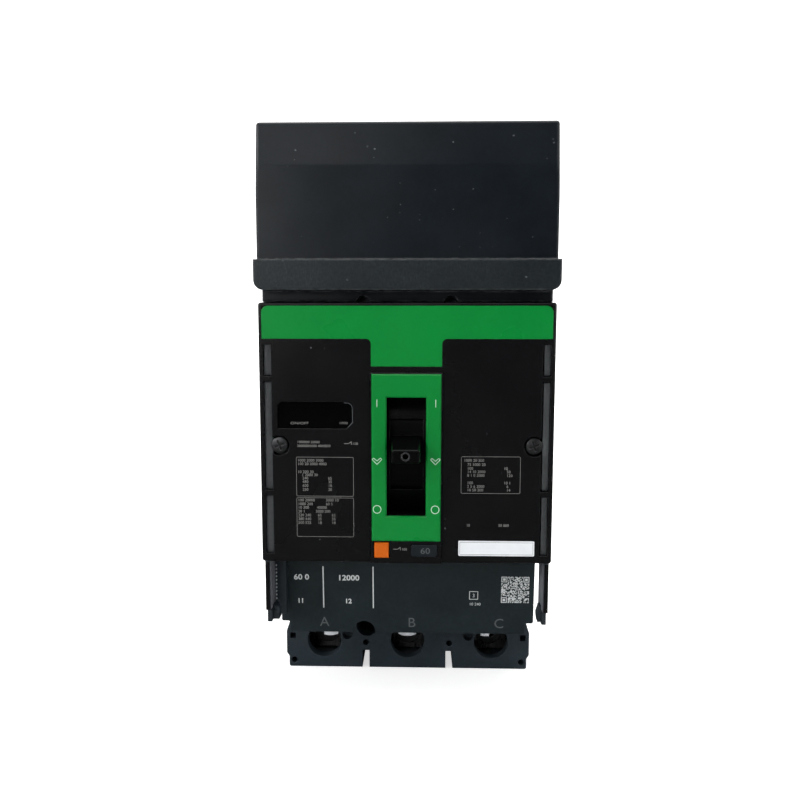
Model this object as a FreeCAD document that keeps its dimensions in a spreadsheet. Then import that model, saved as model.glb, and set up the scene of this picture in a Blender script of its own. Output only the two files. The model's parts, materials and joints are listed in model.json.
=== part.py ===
import FreeCAD, Part
import math
import os
import re
import Sketcher

# Three-pole molded case breaker with a plug-on line end, in millimetres.
# X runs across the poles, Z up towards the line end. The front faces -Y, and every
# depth below is a height above the rear mounting face, counted forward.

SIZES = {
    # frame
    "frame_width": 104.6,
    "frame_depth": 86,
    "pole_pitch": 35,
    "case_top": 74.3,
    "load_end": 81.5,
    "load_end_width": 100,
    "seam": 0.1,
    "slide_gap": 0.3,
    "running_gap": 0.05,
    # cases
    "case_wall": 2.3,
    "rear_wall": 4,
    "rear_case_depth": 46,
    "partition": 5,
    "chamber_top": 70,
    "chamber_bottom": 20.6,
    "case_roof": 2,
    "case_corner": 1.6,
    "rib_thickness": 3.8,
    # accessory cover
    "cover_thickness": 10,
    "cover_top": 70.2,
    "cover_bottom": 23.2,
    "cover_skin": 2.2,
    "cover_edge": 1,
    "groove_inset": 1.6,
    "groove_width": 2.9,
    "groove_depth": 4,
    "groove_bar": 2,
    "groove_break_top": 43.3,
    "groove_break_low": 2.2,
    "groove_end": 56.4,
    "window_width": 14,
    "window_top": 36.9,
    "window_bottom": 5.7,
    "pocket_left": 45.9,
    "pocket_right": 18.8,
    "pocket_top": 35.2,
    "pocket_bottom": 25.6,
    "pocket_depth": 1.6,
    "pocket_bevel": 2.4,
    "pocket_clip": 1.3,
    "cover_screw_x": 45.4,
    "cover_screw_z": 19.5,
    "cover_screw_well": 3.7,
    "cover_screw_head": 3,
    "cover_screw_shank": 1.5,
    "cover_screw_sink": 2.6,
    "cover_screw_length": 16,
    "boss_wall": 1.8,
    # green band
    "band_bottom": 57.5,
    "band_top": 69,
    "band_inset": 1.3,
    "band_thickness": 0.9,
    "band_corner": 2.4,
    "band_fillet": 1.8,
    "stem_width": 25,
    "stem_bottom": 47.8,
    # escutcheon, bezel, plate
    "escutcheon_width": 25.6,
    "escutcheon_top": 45.7,
    "escutcheon_thickness": 2,
    "escutcheon_sink": 1.2,
    "bezel_width": 24.6,
    "bezel_top": 45.2,
    "bezel_bottom": 14.9,
    "bezel_thickness": 1.2,
    "bezel_sink": 0.7,
    "bezel_chamfer": 0.5,
    "plate_left": 1.9,
    "plate_right": 11.1,
    "plate_top": 16.2,
    "plate_bottom": 20.5,
    "plate_thickness": 1,
    # push to trip
    "button_x": -8.8,
    "button_z": -18.25,
    "button_width": 5.2,
    "button_height": 5.6,
    "button_proud": 0.5,
    "button_flange": 1.2,
    "button_flange_reach": 1.1,
    "button_stem": 1.2,
    "button_stem_end": 61.4,
    "button_travel": 2.5,
    "button_room": 1.6,
    "button_spring_radius": 2.1,
    "button_spring_wire": 0.4,
    "button_spring_turns": 3,
    # handle
    "handle_axis_depth": 38,
    "handle_axis_z": 15.6,
    "handle_tilt": 2.5,
    "handle_pin_radius": 2,
    "barrel_inner": 41,
    "barrel_outer": 43,
    "barrel_width": 14.4,
    "barrel_half_angle": 34,
    "toggle_reach": 63,
    "toggle_root_height": 10,
    "toggle_root_width": 10.6,
    "toggle_tip_height": 4.6,
    "toggle_tip_width": 9.6,
    "toggle_round": 0.8,
    "toggle_socket": 1.75,
    "toggle_socket_depth": 6,
    "shutter_thickness": 1.2,
    "shutter_width": 17.2,
    "shutter_half_angle": 36,
    "shutter_slot_angle": 17,
    "shutter_slot_width": 12,
    "yoke_bridge": 33,
    "yoke_steel": 1.2,
    "yoke_width": 21.2,
    "yoke_bridge_height": 7,
    "yoke_hub": 4.5,
    # mechanism
    "side_plate_x": 11,
    "side_plate_steel": 1.5,
    "side_plate_top": 50,
    "side_plate_bottom": 13,
    "side_plate_front": 62,
    "foot_height": 6,
    "crossbar_depth": 22,
    "crossbar_z": 25,
    "crossbar_tilt": -15,
    "drum_radius": 11,
    "drum_width": 24,
    "journal_radius": 6,
    "middle_groove": 8,
    "middle_groove_width": 8.2,
    "crank_radius": 12,
    "crank_angle": 125,
    "crank_eye": 2.6,
    "crank_thickness": 1,
    "crank_x": 4.1,
    "crank_pin_radius": 1.2,
    "cradle_z": 44,
    "cradle_depth": 48,
    "cradle_reach": 47,
    "cradle_rise": 14,
    "cradle_thickness": 2.4,
    "cradle_height": 5,
    "cradle_pin_radius": 1.8,
    "cradle_link_arm": 19,
    "link_steel": 1,
    "link_width": 5,
    "upper_link_length": 11,
    "upper_link_x": 1.5,
    "lower_link_length": 13,
    "lower_link_x": 2.8,
    "knee_eye": 3.1,
    "knee_pin_radius": 1.5,
    "knee_clearance": 0.75,
    "knee_pin_reach": 9.1,
    "main_spring_x": 7.4,
    "main_spring_radius": 1.5,
    "main_spring_wire": 0.4,
    "main_spring_turns": 10,
    "main_spring_eye": 1.4,
    "latch_z": -9,
    "latch_depth": 44,
    "latch_lip_depth": 50.8,
    "latch_tail_gap": 1.5,
    "latch_tail_end": -19,
    "latch_steel": 1.5,
    "latch_width": 14,
    # contacts
    "arm_half_length": 18.5,
    "arm_width": 6,
    "arm_height": 4,
    "pad_length": 4.5,
    "pad_thickness": 1.5,
    "closing_angle": 40,
    "conductor_width": 12,
    "conductor_thickness": 3,
    "conductor_end": 20,
    "line_level": 35.6,
    "strap_level": 5.6,
    "riser_z": 77,
    "tongue_thickness": 5,
    "tongue_end": 91.5,
    # arc chutes
    "chute_plates": 7,
    "chute_plate": 1.2,
    "chute_pitch": 3.6,
    "chute_half_width": 12.4,
    "chute_cheek": 2.5,
    "chute_length": 19,
    "chute_notch_width": 8,
    "chute_notch_depth": 7,
    "line_chute_start": 47,
    "line_chute_depth": 8,
    "load_chute_start": 3,
    "load_chute_depth": 13,
    # trip unit
    "trip_top": 23.5,
    "trip_front": 66,
    "trip_slope": 2.8,
    "trip_width": 100,
    "trip_step": 55,
    "trip_back": 56,
    "trip_end": 59.5,
    "access_notch": 4.35,
    "access_notch_lip": 0.4,
    "trip_rear": 5,
    "trip_wall": 2,
    "trip_face": 3.5,
    "trip_tab_width": 3.5,
    "bay_wall": 2.1,
    "trip_bar_z": -40,
    "trip_bar_depth": 56,
    "trip_bar_radius": 2.5,
    "trip_bar_reach": 46,
    "trip_tab_end": -17,
    "paddle_length": 9,
    "paddle_thickness": 1.6,
    "bimetal_thickness": 1.2,
    "bimetal_width": 6,
    "bimetal_z": -33,
    "yoke_web_z": -27,
    "yoke_core_depth": 10,
    "yoke_core_height": 14,
    "yoke_core_steel": 1.6,
    "armature_z": -36.6,
    "armature_depth": 27,
    "armature_length": 22,
    "armature_steel": 1.4,
    "armature_width": 13,
    "armature_pin": 1,
    "armature_gap": 1.5,
    # load end
    "lug_plane": 48,
    "lug_cover_thickness": 4,
    "lug_cover_top": 58,
    "lug_hole_radius": 7.1,
    "lug_screw_z": -70,
    "lug_width": 18,
    "lug_top": 36,
    "lug_start": 60.5,
    "lug_length": 17.5,
    "lug_bore": 6.3,
    "lug_bore_depth": 18,
    "lug_screw_radius": 5.6,
    "lug_screw_length": 12,
    "lug_screw_rest": 25,
    "lug_socket": 3,
    "lug_socket_depth": 5,
    "lug_clearance": 0.6,
    "wire_entry": 7.6,
    "barrier_slot": 2.9,
    "barrier_slot_top": 74.1,
    "barrier_slot_floor": 10,
    "small_hole": 1.3,
    "side_sink_x": 25.4,
    "side_sink_z": -67.4,
    "side_sink": 2.1,
    "side_sink_depth": 3,
    "mounting_screw_x": -17,
    "mounting_screw_z": -63.5,
    "mounting_screw_radius": 2.4,
    "mounting_screw_head": 4,
    "mounting_head_seat": 14,
    "mounting_head_height": 5,
    "mounting_access": 4.4,
    "bracket_steel": 1.6,
    "bracket_width": 44,
    "bracket_top": 60,
    "bracket_bottom": 74,
    # plug-on line end
    "housing_top": 132,
    "housing_rear": 4,
    "housing_split": 75,
    "housing_shoulder": 117,
    "housing_lean": 1.8,
    "housing_face": 85.6,
    "housing_wall": 2.2,
    "housing_side_return": 67,
    "housing_corner": 1.2,
    "housing_side": 1.8,
    "bus_rear": 20,
    "bus_spacing": 20.5,
    "bus_slot": 9,
    "bus_slot_floor": 89.5,
    "finger_round": 2,
    "jaw_pocket_width": 17.2,
    "jaw_pocket_height": 16.4,
    "jaw_pocket_start": 81,
    "jaw_pocket_end": 126,
    "jaw_width": 14,
    "jaw_thickness": 2,
    "jaw_start": 84,
    "jaw_bend": 115,
    "jaw_end": 122,
    "jaw_flare": 2,
    "jaw_spring_steel": 0.8,
    "jaw_spring_width": 10,
    "jaw_spring_end": 112,
    "jaw_clip_end": 88.4,
    "lip_top": 85,
    "lip_overhang": 1.1,
    "lip_proud": 1,
    "lip_return": 60,
    "lip_corner": 3.4,
    "neck_depth": 5,
    "neck_inset": 0.7,
    "neck_recess": 2.4,
    "neck_recess_x": 15.6,
    # fasteners
    "case_screw_x": 17.5,
    "case_screw_top": 62,
    "case_screw_low": -17.2,
    "case_screw_shank": 1.4,
    "case_screw_head": 2.8,
    "case_screw_head_height": 1.6,
    "case_screw_end": 20,
    # side wings of the front case
    "wing_end": 43.5,
    "wing_tail_end": 48,
    "wing_thickness": 1.6,
    "wing_rear": 71,
    "wing_front": 81,
    "wing_tail_inset": 0.6,
    "left_wing_rear": 64.2,
}

POLES = (("a", "-pole_pitch", 2), ("b", "0", 1), ("c", "pole_pitch", 0))
FRONT = "XZ_Plane"
SIDE = "YZ_Plane"
ABOVE = "XY_Plane"
ACROSS = FreeCAD.Vector(1, 0, 0)

document = FreeCAD.newDocument("molded_case_breaker")
sheet = document.addObject("Spreadsheet::Sheet", "Sizes")
for row, (alias, number) in enumerate(SIZES.items(), start=1):
    sheet.set(f"A{row}", alias)
    sheet.set(f"B{row}", str(number))
    sheet.setAlias(f"B{row}", alias)
document.recompute()


def size(alias):
    """Value of one cell of the sheet."""
    return float(sheet.get(alias))


def bound(text):
    """Expression text with each size's name turned into its cell."""
    return re.sub(r"[a-z][a-z_]*", lambda word: cell(word.group(0)), text)


def cell(word):
    """Spreadsheet reference of a size, or the word itself."""
    return "Sizes." + word if word in SIZES else word


# ---- primitives and booleans -------------------------------------------------


def place(item, x, depth, z):
    """Bind an item's base point; depth counts forward from the rear face."""
    item.setExpression("Placement.Base.x", bound(x))
    item.setExpression("Placement.Base.y", bound(f"-({depth})"))
    item.setExpression("Placement.Base.z", bound(z))
    return item


def block(name, x, depth, z):
    """Box between two limits on each axis."""
    box = document.addObject("Part::Box", name)
    box.setExpression("Length", bound(f"({x[1]}) - ({x[0]})"))
    box.setExpression("Width", bound(f"({depth[1]}) - ({depth[0]})"))
    box.setExpression("Height", bound(f"({z[1]}) - ({z[0]})"))
    return place(box, x[0], depth[1], z[0])


def rod(name, radius, length, turn):
    """Cylinder with bound sizes, turned to its direction."""
    cylinder = document.addObject("Part::Cylinder", name)
    cylinder.setExpression("Radius", bound(radius))
    cylinder.setExpression("Height", bound(length))
    cylinder.Placement = FreeCAD.Placement(FreeCAD.Vector(), turn)
    return cylinder


def rod_across(name, radius, x, depth, z):
    """Cylinder along X."""
    turn = FreeCAD.Rotation(FreeCAD.Vector(0, 1, 0), 90)
    return place(rod(name, radius, f"({x[1]}) - ({x[0]})", turn), x[0], depth, z)


def rod_forward(name, radius, x, depth, z):
    """Cylinder that runs forward, out of the rear face."""
    turn = FreeCAD.Rotation(ACROSS, 90)
    return place(rod(name, radius, f"({depth[1]}) - ({depth[0]})", turn), x, depth[0], z)


def rod_up(name, radius, x, depth, z):
    """Cylinder along Z."""
    return place(rod(name, radius, f"({z[1]}) - ({z[0]})", FreeCAD.Rotation()), x, depth, z[0])


def fuse(name, items):
    """Items joined into one solid."""
    joined = document.addObject("Part::MultiFuse", name)
    joined.Shapes = items
    joined.Refine = True
    return joined


def gather(name, items):
    """Group of separate solids."""
    group = document.addObject("Part::Compound", name)
    group.Links = items
    return group


def cut(name, base, tools):
    """A base less one or more tools."""
    result = document.addObject("Part::Cut", name)
    result.Base = base
    result.Tool = tools[0] if len(tools) == 1 else fuse(name + "_tools", tools)
    result.Refine = True
    return result


def turn_about(item, x, depth, z, angle):
    """Stand an item, built around its own pivot, at that pivot; angle is about +X."""
    spot = FreeCAD.Vector(x, -depth, z)
    item.Placement = FreeCAD.Placement(spot, FreeCAD.Rotation(ACROSS, angle))
    return item


# ---- sketched bodies ---------------------------------------------------------


def new_body(name):
    """Empty PartDesign body."""
    return document.addObject("PartDesign::Body", name)


def new_sketch(body, name, role, offset="0"):
    """Sketch on one of the body's own planes, moved along the plane's normal."""
    sketch = body.newObject("Sketcher::SketchObject", name)
    plane = next(item for item in body.Origin.OriginFeatures if item.Role == role)
    sketch.AttachmentSupport = [(plane, "")]
    sketch.MapMode = "FlatFace"
    sketch.setExpression("AttachmentOffset.Base.z", bound(offset))
    return sketch


def pin_point(sketch, geometry, point, u, v):
    """Ties a point of the sketch to two expressions, counted from its origin."""
    for kind, text in (("DistanceX", u), ("DistanceY", v)):
        index = sketch.addConstraint(Sketcher.Constraint(kind, -1, 1, geometry, point, 1.0))
        sketch.setExpression(f"Constraints[{index}]", bound(text))


def polygon(sketch, corners):
    """Closed outline whose corners are bound to the sheet."""
    first = sketch.GeometryCount
    count = len(corners)
    turns = [2 * math.pi * index / count for index in range(count)]
    start = [FreeCAD.Vector(math.cos(turn), math.sin(turn), 0) for turn in turns]
    for index in range(count):
        sketch.addGeometry(Part.LineSegment(start[index], start[(index + 1) % count]))
    for index in range(count):
        following = first + (index + 1) % count
        sketch.addConstraint(Sketcher.Constraint("Coincident", first + index, 2, following, 1))
    for index, (u, v) in enumerate(corners):
        pin_point(sketch, first + index, 1, u, v)


def rectangle(sketch, u, v):
    """Rectangle between two limits along each of the sketch's axes."""
    polygon(sketch, [(u[0], v[0]), (u[1], v[0]), (u[1], v[1]), (u[0], v[1])])


def circle(sketch, u, v, radius):
    """Circle with a bound centre and radius."""
    shape = Part.Circle(FreeCAD.Vector(1, 1, 0), FreeCAD.Vector(0, 0, 1), 1)
    geometry = sketch.addGeometry(shape)
    pin_point(sketch, geometry, 3, u, v)
    index = sketch.addConstraint(Sketcher.Constraint("Radius", geometry, 1))
    sketch.setExpression(f"Constraints[{index}]", bound(radius))


def pad(body, sketch, length, both_ways=False, backwards=False):
    """Adds material from a sketch, forward unless told otherwise."""
    feature = body.newObject("PartDesign::Pad", sketch.Name + "_pad")
    feature.Profile = sketch
    feature.setExpression("Length", bound(length))
    feature.SideType = "Symmetric" if both_ways else "One side"
    feature.Reversed = backwards
    return feature


def pocket(body, sketch, length, both_ways=False, backwards=False):
    """Takes material away from a sketch, rearward unless told otherwise."""
    feature = body.newObject("PartDesign::Pocket", sketch.Name + "_pocket")
    feature.Profile = sketch
    feature.setExpression("Length", bound(length))
    feature.SideType = "Symmetric" if both_ways else "One side"
    feature.Reversed = backwards
    return feature


def edges_where(shape, test):
    """Names of the edges that pass a test."""
    return [f"Edge{index}" for index, edge in enumerate(shape.Edges, start=1) if test(edge)]


def runs_along(edge, axis):
    """True for a straight edge along one axis of the frame."""
    box = edge.BoundBox
    spans = {"x": box.XLength, "y": box.YLength, "z": box.ZLength}
    small = [span for name, span in spans.items() if name != axis]
    return spans[axis] > 0.5 and max(small) < 1e-4


def soften(body, kind, radius, test):
    """Fillet or chamfer the edges of the body's last feature that pass the test."""
    document.recompute()
    base = body.Tip
    names = edges_where(base.Shape, test)
    feature = body.newObject("PartDesign::" + kind, body.Name + "_" + kind.lower())
    feature.Base = (base, names)
    feature.setExpression("Radius" if kind == "Fillet" else "Size", bound(radius))
    return feature


def prism(name, x, corners):
    """Solid of one side outline, (depth, z) corners, between two x limits."""
    body = new_body(name)
    sketch = new_sketch(body, name + "_outline", SIDE, x[0])
    polygon(sketch, [(f"-({depth})", z) for depth, z in corners])
    pad(body, sketch, f"({x[1]}) - ({x[0]})")
    return body


def finish(item, node):
    """Name a finished sub-part after its node."""
    item.Label = node
    NODES.append(item)
    return item


def on_front(edge, level):
    """True for an edge that lies in one plane across the depth."""
    box = edge.BoundBox
    return box.YLength < 1e-4 and abs(box.YMin + level) < 1e-3


NODES = []
HALF_FRAME = "frame_width / 2"
BEHIND_COVER = "frame_depth - cover_thickness"


# ---- cases -------------------------------------------------------------------


def rear_case():
    """Rear tub: pole chambers, conductor ways, load-end rooms, wire ways and wells."""
    body = new_body("rear_case_body")
    sketch = new_sketch(body, "rear_outline", FRONT)
    half_end = "load_end_width / 2"
    polygon(sketch, [
        (f"-{half_end}", "-load_end"), (half_end, "-load_end"), (half_end, "-trip_step"),
        (HALF_FRAME, "-trip_step"), (HALF_FRAME, "case_top"), (f"-{HALF_FRAME}", "case_top"),
        (f"-{HALF_FRAME}", "-trip_step"), (f"-{half_end}", "-trip_step")])
    pad(body, sketch, "rear_case_depth")
    load_end, case_top = size("load_end"), size("case_top")
    soften(body, "Fillet", "case_corner", lambda edge: runs_along(edge, "y")
           and (edge.BoundBox.ZMin < 1e-3 - load_end or edge.BoundBox.ZMax > case_top - 1e-3))
    chambers = new_sketch(body, "rear_chambers", FRONT, "rear_case_depth")
    half_chamber = "(pole_pitch - partition) / 2"
    for _, x, _ in POLES:
        rectangle(chambers, (f"{x} - {half_chamber}", f"{x} + {half_chamber}"),
                  ("-chamber_bottom", "chamber_top"))
    pocket(body, chambers, "rear_case_depth - rear_wall")
    bay = new_sketch(body, "rear_trip_bay", FRONT, "rear_case_depth")
    rectangle(bay, (f"-({HALF_FRAME} - bay_wall)", f"{HALF_FRAME} - bay_wall"),
              ("-(trip_back + seam)", "-(trip_top - seam)"))
    pocket(body, bay, "rear_case_depth - trip_rear + seam")
    shelf = new_sketch(body, "rear_load_shelf", FRONT, "rear_case_depth")
    rectangle(shelf, ("-frame_width", "frame_width"), ("-load_end - 1", "-trip_back"))
    pocket(body, shelf, "rear_case_depth - lug_plane + lug_cover_thickness")
    ways = new_sketch(body, "rear_strap_ways", FRONT, "rear_case_depth")
    half_way = "(conductor_width / 2 + slide_gap)"
    for _, x, _ in POLES:
        rectangle(ways, (f"{x} - {half_way}", f"{x} + {half_way}"),
                  ("-trip_top - 1", "-chamber_bottom + 1"))
        rectangle(ways, (f"{x} - lug_width / 2 - lug_clearance",
                         f"{x} + lug_width / 2 + lug_clearance"),
                  ("-(lug_start + lug_length + lug_clearance)", "-trip_back + 1"))
    pocket(body, ways, "rear_case_depth - strap_level + seam")
    exits = new_sketch(body, "rear_line_exits", FRONT, "rear_case_depth")
    for _, x, _ in POLES:
        rectangle(exits, (f"{x} - {half_way}", f"{x} + {half_way}"),
                  ("chamber_top - 1", "case_top + 1"))
    pocket(body, exits, "rear_case_depth - line_level + seam")
    entries = new_sketch(body, "rear_wire_entries", ABOVE, "-load_end - 1")
    for _, x, _ in POLES:
        circle(entries, x, "-lug_bore_depth", "wire_entry")
    pocket(body, entries, "load_end - lug_start - lug_length + 1", backwards=True)
    slots = new_sketch(body, "rear_barrier_slots", FRONT, "rear_case_depth")
    for side in ("-", ""):
        middle = f"{side}pole_pitch / 2"
        rectangle(slots, (f"{middle} - barrier_slot / 2", f"{middle} + barrier_slot / 2"),
                  ("-load_end - 1", "-barrier_slot_top"))
    pocket(body, slots, "rear_case_depth - barrier_slot_floor")
    bearing = new_sketch(body, "rear_bearings", SIDE)
    circle(bearing, "-crossbar_depth", "crossbar_z", "journal_radius + running_gap")
    pocket(body, bearing, "pole_pitch + partition + 1", both_ways=True)
    gates = new_sketch(body, "rear_bearing_gates", SIDE)
    half_gate = "(journal_radius + running_gap)"
    rectangle(gates, ("-rear_case_depth - 1", "-crossbar_depth"),
              (f"crossbar_z - {half_gate}", f"crossbar_z + {half_gate}"))
    pocket(body, gates, "pole_pitch + partition + 1", both_ways=True)
    well = new_sketch(body, "rear_screw_well", FRONT, "rear_case_depth")
    circle(well, "mounting_screw_x", "mounting_screw_z", "mounting_access")
    pocket(body, well, "rear_case_depth - mounting_head_seat")
    drill = new_sketch(body, "rear_drillings", FRONT, "rear_case_depth")
    circle(drill, "mounting_screw_x", "mounting_screw_z", "mounting_screw_radius + slide_gap")
    pocket(body, drill, "rear_case_depth + 1")
    taps = new_sketch(body, "rear_screw_holes", FRONT, "rear_case_depth")
    for side in ("-", ""):
        for z in ("case_screw_top", "case_screw_low"):
            circle(taps, f"{side}case_screw_x", z, "case_screw_shank + running_gap")
    pocket(body, taps, "rear_case_depth - case_screw_end + 1")
    recess = new_sketch(body, "rear_bracket_recess", FRONT)
    rectangle(recess, ("-bracket_width / 2 - seam", "bracket_width / 2 + seam"),
              ("-bracket_bottom - seam", "bracket_top + seam"))
    pocket(body, recess, "bracket_steel", backwards=True)
    finish(body, "rear_case")


def front_case():
    """Middle tub over the poles, with the mechanism room, the bearings and two side wings."""
    body = new_body("front_case_body")
    sketch = new_sketch(body, "front_outline", FRONT, "rear_case_depth")
    rectangle(sketch, (f"-{HALF_FRAME}", HALF_FRAME), ("-(trip_top - seam)", "case_top"))
    pad(body, sketch, f"{BEHIND_COVER} - rear_case_depth")
    soften(body, "Fillet", "case_corner", lambda edge: runs_along(edge, "y"))
    bays = new_sketch(body, "front_bays", FRONT, "rear_case_depth")
    inner = "(case_screw_x - rib_thickness / 2)"
    outer = "(case_screw_x + rib_thickness / 2)"
    side = f"({HALF_FRAME} - case_wall)"
    floor = ("-(trip_top - seam - case_wall)", "chamber_top")
    rectangle(bays, (f"-{inner}", inner), floor)
    rectangle(bays, (outer, side), floor)
    rectangle(bays, (f"-{side}", f"-{outer}"), floor)
    pocket(body, bays, f"{BEHIND_COVER} - rear_case_depth - case_roof", backwards=True)
    feet = new_sketch(body, "front_foot_notches", FRONT, "rear_case_depth")
    for low in ("-side_plate_bottom", "side_plate_top - foot_height"):
        rectangle(feet, (f"-{outer} - 1", f"{outer} + 1"),
                  (f"{low} - slide_gap", f"{low} + foot_height + slide_gap"))
    pocket(body, feet, "side_plate_steel + slide_gap", backwards=True)
    tongues = new_sketch(body, "front_saddles", FRONT, "crossbar_depth + journal_radius + slide_gap")
    for sign in ("-", ""):
        rectangle(tongues, (f"{sign}{inner}", f"{sign}{outer}"),
                  ("crossbar_z - journal_radius + seam", "crossbar_z + journal_radius - seam"))
    pad(body, tongues, "rear_case_depth - crossbar_depth - journal_radius")
    bosses = new_sketch(body, "front_bosses", FRONT, f"{BEHIND_COVER} - cover_screw_length")
    for sign in ("-", ""):
        circle(bosses, f"{sign}cover_screw_x", "cover_screw_z", "cover_screw_shank + boss_wall")
    pad(body, bosses, "cover_screw_length")
    openings = new_sketch(body, "front_openings", FRONT, BEHIND_COVER)
    rectangle(openings, ("-shutter_width / 2 - 2 * slide_gap", "shutter_width / 2 + 2 * slide_gap"),
              ("handle_axis_z - barrel_outer * 0.7", "handle_axis_z + barrel_outer * 0.7"))
    circle(openings, "button_x", "button_z", "button_stem + slide_gap")
    pocket(body, openings, "case_roof + 1")
    holes = new_sketch(body, "front_screw_holes", FRONT, BEHIND_COVER)
    for sign in ("-", ""):
        circle(holes, f"{sign}cover_screw_x", "cover_screw_z", "cover_screw_shank + running_gap")
        for z in ("case_screw_top", "case_screw_low"):
            circle(holes, f"{sign}case_screw_x", z, "case_screw_shank + running_gap")
    pocket(body, holes, f"{BEHIND_COVER} - rear_case_depth + 1")
    sinks = new_sketch(body, "front_screw_sinks", FRONT, BEHIND_COVER)
    for sign in ("-", ""):
        for z in ("case_screw_top", "case_screw_low"):
            circle(sinks, f"{sign}case_screw_x", z, "case_screw_head + seam")
    pocket(body, sinks, "case_screw_head_height")
    tab_way = new_sketch(body, "front_tab_way", FRONT, "button_stem_end + 2 * slide_gap")
    rectangle(tab_way, ("button_x - button_width / 2 - slide_gap",
                        "button_x + button_width / 2 + slide_gap"),
              ("-trip_top - 1", "-trip_top + case_wall + 1"))
    pocket(body, tab_way, "button_stem_end - rear_case_depth")
    for sign, side, rear in (("-", "left", "left_wing_rear"), ("", "right", "wing_rear")):
        wing = new_sketch(body, f"{side}_wing", FRONT, rear)
        rectangle(wing, (f"{sign}({HALF_FRAME} - wing_thickness)", f"{sign}{HALF_FRAME}"),
                  ("-wing_end", "-(trip_top - 2 * seam)"))
        rectangle(wing, (f"{sign}({HALF_FRAME} - wing_thickness - wing_tail_inset)",
                         f"{sign}({HALF_FRAME} - wing_tail_inset)"),
                  ("-wing_tail_end", "-wing_end"))
        pad(body, wing, f"wing_front - {rear}")
    finish(body, "front_case")


def accessory_cover():
    """Front cover: window, seats for the trim, side grooves, screw wells and indicator pocket."""
    body = new_body("accessory_cover_body")
    sketch = new_sketch(body, "cover_outline", FRONT, BEHIND_COVER)
    rectangle(sketch, (f"-{HALF_FRAME}", HALF_FRAME), ("-cover_bottom", "cover_top"))
    pad(body, sketch, "cover_thickness")
    soften(body, "Fillet", "cover_edge",
           lambda edge: runs_along(edge, "y") or on_front(edge, size("frame_depth")))
    hollows = new_sketch(body, "cover_hollows", FRONT, BEHIND_COVER)
    inner = "(escutcheon_width / 2 + cover_skin)"
    outer = "(frame_width / 2 - groove_inset - groove_width - cover_skin)"
    for sign in ("-", ""):
        rectangle(hollows, (f"{sign}{inner}", f"{sign}{outer}"),
                  ("-cover_bottom + cover_skin", "cover_top - cover_skin"))
    pocket(body, hollows, "cover_thickness - pocket_depth - cover_skin", backwards=True)
    groove = new_sketch(body, "cover_barrel_groove", SIDE)
    circle(groove, "-handle_axis_depth", "handle_axis_z",
           "barrel_outer + shutter_thickness + 2 * slide_gap")
    pocket(body, groove, "shutter_width + 2 * slide_gap", both_ways=True)
    window = new_sketch(body, "cover_window", FRONT, "frame_depth")
    rectangle(window, ("-window_width / 2", "window_width / 2"), ("-window_bottom", "window_top"))
    pocket(body, window, "cover_thickness + 1")
    grooves = new_sketch(body, "cover_side_grooves", FRONT, "frame_depth")
    stops = ["-cover_bottom + groove_bar", "groove_break_low", "groove_break_top", "groove_end"]
    for sign in ("-", ""):
        edge = f"{sign}(frame_width / 2 - groove_inset)"
        inside = f"{sign}(frame_width / 2 - groove_inset - groove_width)"
        for low, high in zip(stops, stops[1:]):
            rectangle(grooves, (inside, edge),
                      (f"{low} + groove_bar / 2", f"{high} - groove_bar / 2"))
    pocket(body, grooves, "groove_depth")
    band = new_sketch(body, "cover_band_seat", FRONT, "frame_depth")
    polygon(band, band_corners("seam"))
    pocket(body, band, "band_thickness - seam")
    soften(body, "Fillet", "band_fillet - seam", at_stem_corner)
    seat = new_sketch(body, "cover_escutcheon_seat", FRONT, "frame_depth")
    rectangle(seat, ("-escutcheon_width / 2 - seam", "escutcheon_width / 2 + seam"),
              ("-cover_bottom - 1", "escutcheon_top + seam"))
    pocket(body, seat, "escutcheon_sink")
    shelf = new_sketch(body, "cover_indicator_pocket", FRONT, "frame_depth")
    polygon(shelf, [("-pocket_left", "pocket_bottom"),
                    ("-(pocket_right + pocket_bevel)", "pocket_bottom"),
                    ("-pocket_right", "pocket_bottom + pocket_bevel"),
                    ("-pocket_right", "pocket_top - pocket_clip"),
                    ("-(pocket_right + pocket_clip)", "pocket_top"),
                    ("-(pocket_left - pocket_clip)", "pocket_top"),
                    ("-pocket_left", "pocket_top - pocket_clip")])
    pocket(body, shelf, "pocket_depth")
    wells = new_sketch(body, "cover_screw_wells", FRONT, "frame_depth")
    shanks = new_sketch(body, "cover_screw_shanks", FRONT, "frame_depth")
    for sign in ("-", ""):
        circle(wells, f"{sign}cover_screw_x", "cover_screw_z", "cover_screw_well")
        circle(shanks, f"{sign}cover_screw_x", "cover_screw_z", "cover_screw_shank + seam")
    pocket(body, wells, "cover_screw_sink")
    pocket(body, shanks, "cover_thickness + 1")
    key = new_sketch(body, "cover_button_hole", FRONT, "frame_depth")
    rectangle(key, *button_outline("slide_gap"))
    pocket(body, key, "cover_thickness + 1")
    under = new_sketch(body, "cover_button_flange_room", FRONT, BEHIND_COVER)
    rectangle(under, *button_outline("button_flange_reach + slide_gap"))
    pocket(body, under, "button_travel + button_flange + slide_gap + button_room", backwards=True)
    finish(body, "accessory_cover")


def band_corners(grow):
    """T-shaped outline of the green band, grown on every side."""
    edge = f"(frame_width / 2 - band_inset + {grow})"
    stem = f"(stem_width / 2 + {grow})"
    low = f"band_bottom - {grow}"
    top = f"band_top + {grow}"
    foot = f"stem_bottom - {grow}"
    return [(f"-{edge}", low), (f"-{stem}", low), (f"-{stem}", foot), (stem, foot),
            (stem, low), (edge, low), (edge, top), (f"-{edge}", top)]


def at_stem_corner(edge):
    """Picks the two edges where the band's stem meets its cross bar."""
    box = edge.BoundBox
    return (runs_along(edge, "y") and box.YMin < -size("frame_depth") + size("band_thickness")
            and abs(abs(box.XMin) - size("stem_width") / 2) < 2 * size("seam")
            and abs(box.ZMin - size("band_bottom")) < 2 * size("seam"))


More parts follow.
